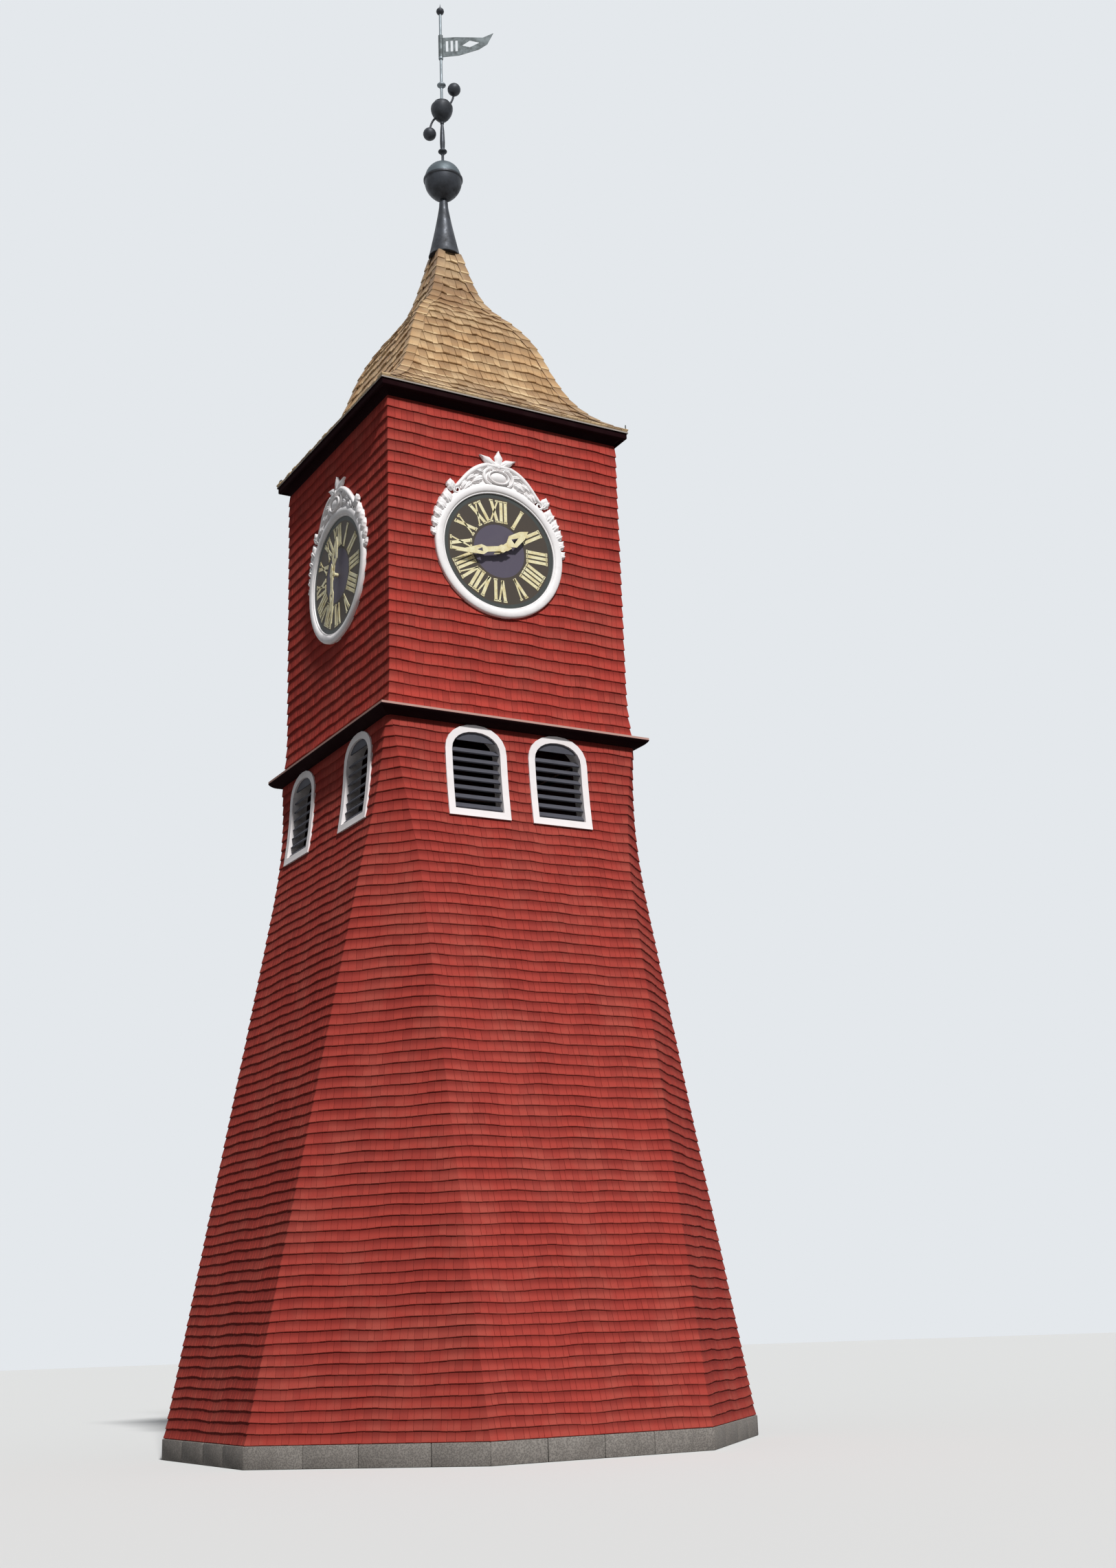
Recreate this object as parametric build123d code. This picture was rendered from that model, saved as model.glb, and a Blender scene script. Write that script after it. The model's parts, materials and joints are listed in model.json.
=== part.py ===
from build123d import *
import math
import os

# A shingled clock tower: a flaring octagonal foot, a square clock stage and an ogee roof.
# Millimetres, +Z up, the ground is z = 0 and the tower's axis is the Z axis.
# South is -Y, east is +X. Each side is first made facing +X and then turned to its place,
# so that along a wall +Y is to the right for someone who faces it from outside.

# Stone footing
FOOTING_HEIGHT = 300
FOOTING_WIDTH = 360
FOOTING_LEDGE = 40

# Lower body, from the footing up to the string course
BODY_HEIGHT = 10630
BODY_FOOT_HALF = 4220
BODY_TOP_HALF = 2240
BODY_WALL = 220
PLUMB_HEIGHT = 60
BEND_LENGTH = 900
BEND_STEPS = 5
CORNER_WAIST_HALF = 3140
CORNER_WAIST_DROP = 2600
CORNER_EASE = 36

# Belfry windows and floor
WINDOW_HALF_WIDTH = 425
WINDOW_STRAIGHT_HEIGHT = 980
WINDOW_HEAD_RISE = 330
WINDOW_HEAD_FULLNESS = 0.93
WINDOW_HEAD_STEPS = 12
WINDOW_SILL_DROP = 1425
WINDOW_SPACING_SOUTH = 1480
WINDOW_SPACING_WEST = 2340
CASING_WIDTH = 115
CASING_PROUD = 45
LINING_THICKNESS = 50
SLAT_PITCH = 155
SLAT_THICKNESS = 22
SLAT_DEPTH = 125
SLAT_TILT = 45
SLAT_PROUD = 10
HEAD_BOARD_HEIGHT = 150
FLOOR_THICKNESS = 120
FLOOR_BELOW_SILL = 115

# String course between the body and the clock stage
COURSE_HEIGHT = 150
COURSE_OVERHANG = 185
COURSE_LIP = 50
COURSE_WALL_BEARING = 200

# Clock stage
STAGE_HEIGHT = 5400
STAGE_HALF = 2160
STAGE_WALL = 160
STAGE_FLARE = 50
STAGE_FLARE_HEIGHT = 850

# Clock dials, one on each side, set off the middle of the wall
DIAL_ABOVE_COURSE = 2980
DIAL_SHIFT_SOUTH = -180
DIAL_SHIFT_WEST = 130
DIAL_RADIUS = 1015
DIAL_REBATE = 60
DIAL_THICKNESS = 30
RING_WIDTH = 165
RING_PROUD = 85
RING_EDGE = 40
RING_SIDES = 32
HUB_RADIUS = 60
HUB_SIDES = 8

# Carved crest over each dial, measured from the dial's centre
CREST_RISE = 1530
CREST_CROWN_HALF = 230
CREST_SHOULDER_HALF = 790
CREST_SHOULDER_RISE = 1040
CREST_SWELL = 40
CREST_THICKNESS = 60
CARTOUCHE_HALF_WIDTH = 230
CARTOUCHE_HALF_HEIGHT = 115
CARTOUCHE_RISE = 1325
CARTOUCHE_PROUD = 25
CARTOUCHE_SIDES = 16
LEAF_THICKNESS = 50
PALMETTE_LENGTH = 330
PALMETTE_SPREAD = 48
SHOULDER_LEAF_LENGTH = 200
SIDE_LEAF_LENGTH = 380

# Clock hands and their arbors
HOUR_HAND_LENGTH = 650
HOUR_HAND_WIDTH = 230
MINUTE_HAND_LENGTH = 890
MINUTE_HAND_WIDTH = 175
HAND_BULGE = 0.42
HAND_TAIL = 190
HAND_STEM = 90
HAND_THICKNESS = 10
HOUR_HAND_GAP = 80
HAND_GAP = 15
PIPE_RADIUS = 35
ARBOR_RADIUS = 20
PIPE_INSIDE = 20
ARBOR_INSIDE = 60
SHAFT_SIDES = 12

# Eaves and roof
EAVES_HEIGHT = 230
EAVES_OVERHANG = 170
EAVES_BEARING = 160
EAVES_BEAD_RADIUS = 28
FASCIA_HEIGHT = 110
DRIP_BOARD = 25
DRIP_OVERHANG = 20
ROOF_HEIGHT = 4140
ROOF_FLARE_HALF = 1530
ROOF_FLARE_RISE = 920
ROOF_WAIST_HALF = 1270
ROOF_WAIST_RISE = 1650
ROOF_WAIST_LEAN = 16
ROOF_SHOULDER_HALF = 720
ROOF_SHOULDER_RISE = 2670
ROOF_NECK_HALF = 420
ROOF_NECK_RISE = 3220
ROOF_TOP_HALF = 200
ROOF_SHELL = 120

# Metal spire: cone, balls, rod and weather vane
CONE_HEIGHT = 1220
CONE_BASE_RADIUS = 290
CONE_WAIST_RADIUS = 190
CONE_WAIST_RISE = 440
CONE_NECK_RADIUS = 115
CONE_NECK_RISE = 1080
CONE_TOP_RADIUS = 60
LARGE_BALL_RADIUS = 350
LARGE_BALL_DEPTH = 450
LARGE_BALL_LIP = 12
LARGE_BALL_BOWL_RADIUS = 230
LARGE_BALL_BOWL_DEPTH = 330
ROD_RADIUS = 26
ROD_HEIGHT = 4130
ROD_SWELL_RADIUS = 48
COLLAR_RADIUS = 85
COLLAR_HEIGHT = 120
LOWER_COLLAR_RISE = 1060
UPPER_COLLAR_RISE = 2530
VANE_COLLAR_HEIGHT = 50
MIDDLE_BALL_RISE = 1940
MIDDLE_BALL_RADIUS = 210
MIDDLE_BALL_RIM_RADIUS = 150
MIDDLE_BALL_RISE_OVER = 190
MIDDLE_BALL_POINT_DROP = 270
ARM_RADIUS = 20
ARM_REACH = 240
ARM_RISE = 480
SMALL_BALL_RADIUS = 125
BALL_BANDS = 6
BALL_SIDES = 20
SMALL_SIDES = 12
VANE_DROP = 480
VANE_HEIGHT = 490
VANE_LENGTH = 1020
VANE_SHEET = 8
VANE_SLEEVE_RADIUS = 44
VANE_BEARING = -31
TOP_BALL_RADIUS = 75
TOP_SPIKE = 110
SPIKE_TIP = 4

# Running clearance of turning pieces, and of round pieces threaded on each other
FIT = 0.3

# Time shown on the dials, as hours and minutes
TIME_SHOWN = {"south": (1, 43), "east": (1, 43), "north": (1, 43), "west": (12, 30)}
SIDES = {"east": 0, "north": 90, "west": 180, "south": 270}
CORNERS = {"north_east": 0, "north_west": 90, "south_west": 180, "south_east": 270}

# Levels worked out from the sizes above
REACH = 3 * BODY_FOOT_HALF
BODY_BASE = FOOTING_HEIGHT
BODY_TOP = BODY_BASE + BODY_HEIGHT
SILL_LEVEL = BODY_TOP - WINDOW_SILL_DROP
FLOOR_TOP = SILL_LEVEL - FLOOR_BELOW_SILL
COURSE_TOP = BODY_TOP + COURSE_HEIGHT
STAGE_TOP = COURSE_TOP + STAGE_HEIGHT
DIAL_LEVEL = COURSE_TOP + DIAL_ABOVE_COURSE
EAVES_TOP = STAGE_TOP + EAVES_HEIGHT
ROOF_TOP = EAVES_TOP + ROOF_HEIGHT
CONE_TOP = ROOF_TOP + CONE_HEIGHT
ROD_TOP = CONE_TOP + ROD_HEIGHT
VANE_TOP = ROD_TOP - VANE_DROP
VANE_LOW = VANE_TOP - VANE_HEIGHT
EAVES_HALF = STAGE_HALF + EAVES_OVERHANG
RING_RADIUS = DIAL_RADIUS + RING_WIDTH
BODY_TOP_DIAGONAL = math.sqrt(2) * BODY_TOP_HALF - CORNER_EASE


def turned(shape, angle):
    """The shape turned about the tower's axis."""
    return Rot(0, 0, angle) * shape


def upright(lines):
    """A face in the XZ plane from lines drawn as (distance from the axis, height)."""
    edges = [edge for line in lines for edge in line.edges()]
    return make_face([Plane.XZ * edge for edge in edges])


def ran_along(face, reach=REACH):
    """An upright face run along Y, both ways."""
    return extrude(face, amount=reach, both=True)


def quadrant():
    """The quarter of space that belongs to the side facing +X."""
    corners = [(0, 0), (REACH, -REACH), (REACH, REACH)]
    return extrude(make_face(Polyline(*corners, close=True)), amount=ROOF_TOP)


def mitred_side(face):
    """One side of a square ring or roof, mitred at its corners."""
    return ran_along(face) & quadrant()


def square_ring(face):
    """The four mitred sides of a ring, joined into one."""
    side = mitred_side(face)
    ring = side
    for angle in (90, 180, 270):
        ring += turned(side, angle)
    return ring


def body_line():
    """The lower wall's outline: sloped, bent in short boards, then plumb under the string course."""
    foot = (BODY_FOOT_HALF, BODY_BASE)
    elbow_level = BODY_TOP - PLUMB_HEIGHT - BEND_LENGTH
    elbow = (BODY_TOP_HALF, elbow_level)
    slope = math.atan2(BODY_FOOT_HALF - BODY_TOP_HALF, elbow_level - BODY_BASE)
    bend_low = (elbow[0] + BEND_LENGTH * math.sin(slope), elbow[1] - BEND_LENGTH * math.cos(slope))
    bend_high = (BODY_TOP_HALF, elbow_level + BEND_LENGTH)
    straight = Line(foot, bend_low)
    bend = TangentArc(bend_low, bend_high, tangent=straight % 1)
    joints = [bend @ (step / BEND_STEPS) for step in range(BEND_STEPS + 1)]
    boards = [Line(low, high) for low, high in zip(joints, joints[1:])]
    plumb = Line(bend_high, (BODY_TOP_HALF, BODY_TOP))
    return [straight, *boards, plumb]


def corner_line():
    """The corner face's outline: sloped below, then arching out to the square's corner."""
    waist = (CORNER_WAIST_HALF, BODY_TOP - CORNER_WAIST_DROP)
    straight = Line((BODY_FOOT_HALF, BODY_BASE), waist)
    arch = TangentArc(waist, (BODY_TOP_DIAGONAL, BODY_TOP), tangent=straight % 1)
    return [straight, arch]


def band(line, thickness):
    """A wall's upright section: its outline and the same outline moved inwards."""
    inner = [Pos(-thickness, 0) * edge for edge in line]
    foot = Line(line[0] @ 0, inner[0] @ 0)
    head = Line(line[-1] @ 1, inner[-1] @ 1)
    return upright(line + inner + [foot, head])


def within(line, inset=0):
    """All that lies inside an outline on the +X side, run along Y."""
    moved = [Pos(-inset, 0) * edge for edge in line]
    low = moved[0] @ 0
    high = moved[-1] @ 1
    back = Polyline((high.X, high.Y), (-REACH, high.Y), (-REACH, low.Y), (low.X, low.Y))
    return ran_along(upright(moved + [back]))


def window_outline(grow):
    """A round-headed window on the wall, grown by a margin, as (along the wall, height)."""
    spring = SILL_LEVEL + WINDOW_STRAIGHT_HEIGHT
    half = WINDOW_HALF_WIDTH + grow
    rise = WINDOW_HEAD_RISE + grow
    low = SILL_LEVEL - grow
    head = []
    for step in range(WINDOW_HEAD_STEPS + 1):
        turn = math.pi * step / WINDOW_HEAD_STEPS
        along = math.copysign(abs(math.cos(turn)) ** WINDOW_HEAD_FULLNESS, math.cos(turn))
        head.append((half * along, spring + rise * abs(math.sin(turn)) ** WINDOW_HEAD_FULLNESS))
    return make_face(Polyline(*head, (-half, low), (half, low), close=True))


def window_prism(grow, offset):
    """A window's outline run through the wall that faces +X."""
    outline = Plane.YZ * Pos(offset, 0) * window_outline(grow)
    return extrude(outline, amount=REACH)


def window_offsets(side):
    """Where the middles of a side's two windows lie, along the wall."""
    spacing = WINDOW_SPACING_WEST if side in ("east", "west") else WINDOW_SPACING_SOUTH
    return (-spacing / 2, spacing / 2)


def lower_wall(side):
    """A main wall of the lower body, with its two window openings."""
    wall = ran_along(band(body_line(), BODY_WALL)) & quadrant()
    for angle in (45, -45):
        wall &= turned(within(corner_line()), angle)
    for offset in window_offsets(side):
        wall -= window_prism(LINING_THICKNESS, offset)
    return wall


def corner_wall():
    """A corner face of the lower body, between two main walls."""
    wall = turned(ran_along(band(corner_line(), BODY_WALL)), 45)
    wall &= turned(quadrant(), 45)
    for angle in (0, 90):
        wall &= turned(within(body_line(), BODY_WALL), angle)
    return wall


def octagon(half):
    """An eight-sided face, flat towards the four sides and the four corners."""
    return RegularPolygon(half, 8, major_radius=False, rotation=22.5)


def stone_footing():
    """The eight-sided stone ring under the walls."""
    outer = BODY_FOOT_HALF + FOOTING_LEDGE
    ring = octagon(outer) - octagon(outer - FOOTING_WIDTH)
    return extrude(ring, amount=FOOTING_HEIGHT)


def belfry_floor():
    """The floor that the belfry windows stand on, cut to the walls around it."""
    slab = Pos(0, 0, FLOOR_TOP - FLOOR_THICKNESS / 2) * Box(2 * REACH, 2 * REACH, FLOOR_THICKNESS)
    for angle in SIDES.values():
        slab &= turned(within(body_line(), BODY_WALL), angle)
        slab &= turned(within(corner_line(), BODY_WALL + FIT), angle + 45)
    return slab


def casing_band():
    """The casing's upright section, standing proud of the wall and following its bend."""
    outer = [Pos(CASING_PROUD, 0) * edge for edge in body_line()]
    return band(outer, CASING_PROUD)


def window_frame(offset):
    """A white casing on the wall with the lining that goes through it."""
    casing = window_prism(CASING_WIDTH, offset) & ran_along(casing_band())
    lining = window_prism(LINING_THICKNESS, offset) & ran_along(band(body_line(), BODY_WALL))
    return casing + lining - window_prism(0, offset)


def wall_distance(level):
    """How far the lower wall's outer face stands from the axis at a level."""
    for edge in body_line():
        if (edge @ 0).Y <= level <= (edge @ 1).Y:
            cut = edge.intersect(Axis((0, level), (1, 0)))
            return cut.vertices()[0].X if hasattr(cut, "vertices") else cut.X
    return BODY_TOP_HALF


def louvres(side):
    """A side's two louvres: sloping slats from lining to lining and a board in the arched head."""
    boards = []
    head_top = SILL_LEVEL + WINDOW_STRAIGHT_HEIGHT + WINDOW_HEAD_RISE
    head_low = head_top - HEAD_BOARD_HEIGHT
    count = int((head_low - SILL_LEVEL) / SLAT_PITCH)
    tilt = math.radians(SLAT_TILT)
    reach = (SLAT_DEPTH * math.cos(tilt) + SLAT_THICKNESS * math.sin(tilt)) / 2
    slat = Rot(0, SLAT_TILT, 0) * Box(SLAT_DEPTH, 2 * WINDOW_HALF_WIDTH, SLAT_THICKNESS)
    head = Box(SLAT_THICKNESS, 2 * WINDOW_HALF_WIDTH, HEAD_BOARD_HEIGHT)
    for offset in window_offsets(side):
        opening = window_prism(-FIT, offset)
        for number in range(count):
            level = SILL_LEVEL + SLAT_PITCH * (number + 0.5)
            middle = wall_distance(level) + SLAT_PROUD - reach
            boards.append(Pos(middle, offset, level) * slat & opening)
        level = (head_low + head_top) / 2
        middle = wall_distance(level) + SLAT_PROUD - SLAT_THICKNESS / 2
        boards.append(Pos(middle, offset, level) * head & opening)
    return boards


def string_course():
    """The board between body and clock stage: a coved underside and an upright lip."""
    inner = BODY_TOP_HALF - COURSE_WALL_BEARING
    outer = BODY_TOP_HALF + COURSE_OVERHANG
    cove = TangentArc((BODY_TOP_HALF, BODY_TOP), (outer, COURSE_TOP - COURSE_LIP), tangent=(1, 0))
    rest = Polyline(
        cove @ 1,
        (outer, COURSE_TOP),
        (inner, COURSE_TOP),
        (inner, BODY_TOP),
        cove @ 0,
    )
    return square_ring(upright([cove, rest]))


def stage_line():
    """The clock stage's outline: flared at its foot, then plumb."""
    flare_top = COURSE_TOP + STAGE_FLARE_HEIGHT
    flare = TangentArc((STAGE_HALF, flare_top), (STAGE_HALF + STAGE_FLARE, COURSE_TOP), tangent=(0, -1))
    plumb = Line((STAGE_HALF, flare_top), (STAGE_HALF, STAGE_TOP))
    return [flare, plumb]


def clock_wall(side):
    """A wall of the clock stage, with the hole that the dial's hub goes through."""
    flare, plumb = stage_line()
    inner = STAGE_HALF - STAGE_WALL
    back = Polyline(plumb @ 1, (inner, STAGE_TOP), (inner, COURSE_TOP), flare @ 1)
    wall = mitred_side(upright([flare, plumb, back]))
    mortise = prism(-2 * STAGE_WALL, 2 * STAGE_WALL, HUB_RADIUS + FIT, HUB_SIDES)
    return wall - on_dial(mortise, side)


def on_dial(shape, side):
    """A shape drawn about Z and put on a dial's axis: Z points out of the wall, Y up it."""
    shift = DIAL_SHIFT_WEST if side in ("east", "west") else DIAL_SHIFT_SOUTH
    return Pos(STAGE_HALF, shift, DIAL_LEVEL) * Rot(0, 90, 0) * Rot(0, 0, 90) * shape


def prism(low, high, radius, sides):
    """An upright many-sided disc or shaft about Z between two heights."""
    return Pos(0, 0, low) * extrude(RegularPolygon(radius, sides), amount=high - low)


def turning_bore(low, high, radius):
    """A many-sided hole that a shaft of this radius turns in."""
    hole = RegularPolygon(radius + FIT, SHAFT_SIDES, major_radius=False)
    return Pos(0, 0, low) * extrude(hole, amount=high - low)


def faceted(points, sides):
    """A many-sided piece about Z from its half outline, each point (radius, height) above the last."""
    return loft([Pos(0, 0, level) * RegularPolygon(radius, sides) for radius, level in points], ruled=True)


def dial_plate(side):
    """The dark dial with its hub, which runs through the wall and carries the arbors."""
    plate = prism(0, DIAL_THICKNESS, DIAL_RADIUS + DIAL_REBATE, RING_SIDES)
    hub = prism(-STAGE_WALL, 0, HUB_RADIUS, HUB_SIDES)
    bore = turning_bore(-2 * STAGE_WALL, 2 * STAGE_WALL, PIPE_RADIUS)
    return on_dial(plate + hub - bore, side)


def ring_point(angle):
    """A point of the ring's rounded front, as (radius, height), from its outer edge inwards."""
    turn = math.radians(angle)
    radius = DIAL_RADIUS + RING_WIDTH / 2 * (1 + math.cos(turn))
    return (radius, RING_EDGE + (RING_PROUD - RING_EDGE) * math.sin(turn))


def ring_moulding():
    """The rounded moulding round a dial, rebated at the back over the dial's edge."""
    ring = faceted([(RING_RADIUS, 0)] + [ring_point(angle) for angle in (0, 40, 75)], RING_SIDES)
    ring -= prism(-RING_PROUD, DIAL_THICKNESS, DIAL_RADIUS + DIAL_REBATE + FIT, RING_SIDES)
    crown = ring_point(105)
    inside = [(DIAL_RADIUS, 0), ring_point(180), ring_point(140), crown, (crown[0], 2 * RING_PROUD)]
    return ring - faceted(inside, RING_SIDES)


def leaf(length, place, turn, height=LEAF_THICKNESS):
    """A pointed carved leaf from its root at a place, its tip turned from straight up."""
    half = length / 4
    outline = Polyline((0, 0), (half, length * 0.4), (0, length), (-half, length * 0.4), close=True)
    return Pos(*place) * Rot(0, 0, turn) * extrude(make_face(outline), amount=height)


def cartouche():
    """The flat oval in the middle of the crest, its edge in short cuts."""
    oval = []
    for step in range(CARTOUCHE_SIDES):
        turn = 2 * math.pi * step / CARTOUCHE_SIDES
        across = CARTOUCHE_HALF_WIDTH * math.cos(turn)
        oval.append((across, CARTOUCHE_RISE + CARTOUCHE_HALF_HEIGHT * math.sin(turn)))
    return make_face(Polyline(*oval, close=True))


def crest():
    """The carving over a dial: crown, cartouche, palmette, shoulder leaves and side leaves."""
    side = (CREST_SHOULDER_HALF, CREST_SHOULDER_RISE)
    top = (CREST_CROWN_HALF, CREST_RISE)
    swell = ((side[0] + top[0]) / 2 + CREST_SWELL, (side[1] + top[1]) / 2 + CREST_SWELL)
    outline = Polyline(
        (-side[0], 0),
        (-side[0], side[1]),
        (-swell[0], swell[1]),
        (-top[0], top[1]),
        top,
        swell,
        side,
        (side[0], 0),
        close=True,
    )
    carving = extrude(make_face(outline), amount=CREST_THICKNESS)
    carving += extrude(cartouche(), amount=CREST_THICKNESS + CARTOUCHE_PROUD)
    root = (0, CREST_RISE - CREST_THICKNESS)
    for turn in (-PALMETTE_SPREAD, 0, PALMETTE_SPREAD):
        carving += leaf(PALMETTE_LENGTH, root, turn)
    for way in (1, -1):
        carving += leaf(SHOULDER_LEAF_LENGTH, (way * side[0], side[1] - CREST_THICKNESS), -way * PALMETTE_SPREAD / 2)
        for angle in (5, 20, 35):
            place = (way * RING_RADIUS * math.cos(math.radians(angle)), RING_RADIUS * math.sin(math.radians(angle)))
            carving += leaf(SIDE_LEAF_LENGTH, place, way * (angle - 12))
    return carving


def dial_surround(side):
    """The moulded ring round a dial, with the crest above it."""
    hole = prism(-RING_PROUD, 2 * RING_PROUD, DIAL_RADIUS + RING_WIDTH / 2, RING_SIDES)
    return on_dial(ring_moulding() + (crest() - hole), side)


def hand_blade(length, width, low):
    """A broad clock hand pointing up the dial: pointed tail, stem and a pierced head before its tip."""
    bulge = HAND_BULGE * length
    stem = HAND_STEM / 2
    outline = Polyline(
        (0, -HAND_TAIL),
        (-stem, -HAND_TAIL / 2),
        (-stem, bulge - width / 2),
        (-width / 2, bulge),
        (-width / 3, bulge + width),
        (0, length),
        (width / 3, bulge + width),
        (width / 2, bulge),
        (stem, bulge - width / 2),
        (stem, -HAND_TAIL / 2),
        close=True,
    )
    eye = Polyline((-width / 5, bulge), (width / 5, bulge), (0, bulge + 0.6 * width), close=True)
    blade = extrude(make_face(outline) - make_face(eye), amount=HAND_THICKNESS)
    boss = prism(0, HAND_THICKNESS, 2 * PIPE_RADIUS, SHAFT_SIDES)
    return Pos(0, 0, low) * (blade + boss)


def hour_hand(hours, minutes, side):
    """The hour hand with the pipe that turns in the dial's hub."""
    low = DIAL_THICKNESS + HOUR_HAND_GAP
    pipe = prism(-STAGE_WALL - PIPE_INSIDE, low + HAND_THICKNESS, PIPE_RADIUS, SHAFT_SIDES)
    bore = turning_bore(-2 * STAGE_WALL, 2 * STAGE_WALL, ARBOR_RADIUS)
    hand = hand_blade(HOUR_HAND_LENGTH, HOUR_HAND_WIDTH, low) + pipe - bore
    turn = -30 * (hours + minutes / 60)
    return on_dial(Rot(0, 0, turn) * hand, side)


def minute_hand(minutes, side):
    """The minute hand with its arbor, which turns inside the hour hand's pipe."""
    low = DIAL_THICKNESS + HOUR_HAND_GAP + HAND_THICKNESS + HAND_GAP
    arbor = prism(-STAGE_WALL - ARBOR_INSIDE, low, ARBOR_RADIUS, SHAFT_SIDES)
    hand = hand_blade(MINUTE_HAND_LENGTH, MINUTE_HAND_WIDTH, low) + arbor
    return on_dial(Rot(0, 0, -6 * minutes) * hand, side)


def eaves():
    """The dark cornice under the roof: coved soffit, bead, fascia and a drip board."""
    inner = STAGE_HALF - EAVES_BEARING
    bead_level = EAVES_TOP - FASCIA_HEIGHT
    bead_back = (EAVES_HALF - 2 * EAVES_BEAD_RADIUS, bead_level)
    drip_low = EAVES_TOP - DRIP_BOARD
    soffit = TangentArc((STAGE_HALF, STAGE_TOP), bead_back, tangent=(0, 1))
    bead = TangentArc(bead_back, (EAVES_HALF, bead_level), tangent=(0, -1))
    rest = Polyline(
        bead @ 1,
        (EAVES_HALF, drip_low),
        (EAVES_HALF + DRIP_OVERHANG, drip_low),
        (EAVES_HALF + DRIP_OVERHANG, EAVES_TOP),
        (inner, EAVES_TOP),
        (inner, STAGE_TOP),
        soffit @ 0,
    )
    return square_ring(upright([soffit, bead, rest]))


def roof_line():
    """The roof's outline from the eaves up: flared, steep, rounded, then a slim neck."""
    waist = (ROOF_WAIST_HALF, EAVES_TOP + ROOF_WAIST_RISE)
    lean = math.radians(ROOF_WAIST_LEAN)
    shoulder = (ROOF_SHOULDER_HALF, EAVES_TOP + ROOF_SHOULDER_RISE)
    neck = (ROOF_NECK_HALF, EAVES_TOP + ROOF_NECK_RISE)
    flare = (ROOF_FLARE_HALF, EAVES_TOP + ROOF_FLARE_RISE)
    body = TangentArc(waist, shoulder, tangent=(-math.sin(lean), math.cos(lean)))
    hollow = TangentArc(shoulder, neck, tangent=body % 1)
    tip = TangentArc(neck, (ROOF_TOP_HALF, ROOF_TOP), tangent=hollow % 1)
    skirt = TangentArc(waist, flare, tangent=(math.sin(lean), -math.cos(lean)))
    kick = TangentArc(flare, (EAVES_HALF + DRIP_OVERHANG, EAVES_TOP), tangent=skirt % 1)
    return [kick, skirt, body, hollow, tip]


def roof_slope():
    """One of the four slopes of the roof shell, mitred at its hips."""
    line = roof_line()
    inner = [Pos(-ROOF_SHELL, 0) * edge for edge in line]
    foot = Line(line[0] @ 1, inner[0] @ 1)
    head = Line(line[-1] @ 1, inner[-1] @ 1)
    return mitred_side(upright(line + inner + [foot, head]))


def rod_bore(low, high):
    """The hole by which a piece is threaded on the rod."""
    return prism(low, high, ROD_RADIUS + FIT, SHAFT_SIDES)


def ball_points(radius, level, start=-90, end=90, bands=BALL_BANDS):
    """A ball's half outline as (radius, height) in bands, as it is made from sheet metal."""
    angles = [math.radians(start + (end - start) * number / bands) for number in range(bands + 1)]
    return [(max(radius * math.cos(angle), SPIKE_TIP), level + radius * math.sin(angle)) for angle in angles]


def spire_cone():
    """The sheet metal cone that caps the roof, hollow-sided, with a rounded shoulder."""
    outline = [
        (CONE_BASE_RADIUS, ROOF_TOP),
        (CONE_WAIST_RADIUS, ROOF_TOP + CONE_WAIST_RISE),
        ((CONE_WAIST_RADIUS + CONE_NECK_RADIUS) / 2, ROOF_TOP + (CONE_WAIST_RISE + CONE_NECK_RISE) / 2),
        (CONE_NECK_RADIUS, ROOF_TOP + CONE_NECK_RISE),
        (CONE_TOP_RADIUS, CONE_TOP),
    ]
    return faceted(outline, BALL_SIDES)


def large_ball():
    """The large ball on the cone: a deep bowl below, a lip round it and a dome above."""
    seam = CONE_TOP + LARGE_BALL_DEPTH
    lip = LARGE_BALL_RADIUS + LARGE_BALL_LIP
    bowl = [
        (CONE_TOP_RADIUS, CONE_TOP),
        (LARGE_BALL_BOWL_RADIUS, seam - LARGE_BALL_BOWL_DEPTH),
        (LARGE_BALL_RADIUS, seam - LARGE_BALL_BOWL_DEPTH / 3),
        (lip, seam - 2 * LARGE_BALL_LIP),
        (lip, seam - LARGE_BALL_LIP),
    ]
    dome = ball_points(LARGE_BALL_RADIUS, seam, start=0)
    ball = faceted(bowl + dome, BALL_SIDES)
    return ball - rod_bore(CONE_TOP - LARGE_BALL_RADIUS, seam + 2 * LARGE_BALL_RADIUS)


def collar(level, radius, height):
    """A collar on the rod, waisted towards its ends."""
    return faceted([
        (1.5 * ROD_RADIUS, level - height / 2),
        (radius, level - height / 6),
        (radius, level + height / 6),
        (1.5 * ROD_RADIUS, level + height / 2),
    ], SHAFT_SIDES)


def vane_rod():
    """The rod that carries the balls and the vane, swelling above its lowest collar."""
    rod = prism(CONE_TOP, ROD_TOP, ROD_RADIUS, SHAFT_SIDES)
    for rise in (LOWER_COLLAR_RISE, UPPER_COLLAR_RISE):
        rod += collar(CONE_TOP + rise, COLLAR_RADIUS, COLLAR_HEIGHT)
    swell_low = CONE_TOP + LOWER_COLLAR_RISE
    swell_high = CONE_TOP + MIDDLE_BALL_RISE - MIDDLE_BALL_POINT_DROP
    rod += faceted([(ROD_SWELL_RADIUS, swell_low), (ROD_RADIUS + FIT, swell_high)], SHAFT_SIDES)
    seat = VANE_LOW - FIT
    rod += prism(seat - VANE_COLLAR_HEIGHT, seat, VANE_SLEEVE_RADIUS, SHAFT_SIDES)
    return rod


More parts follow.
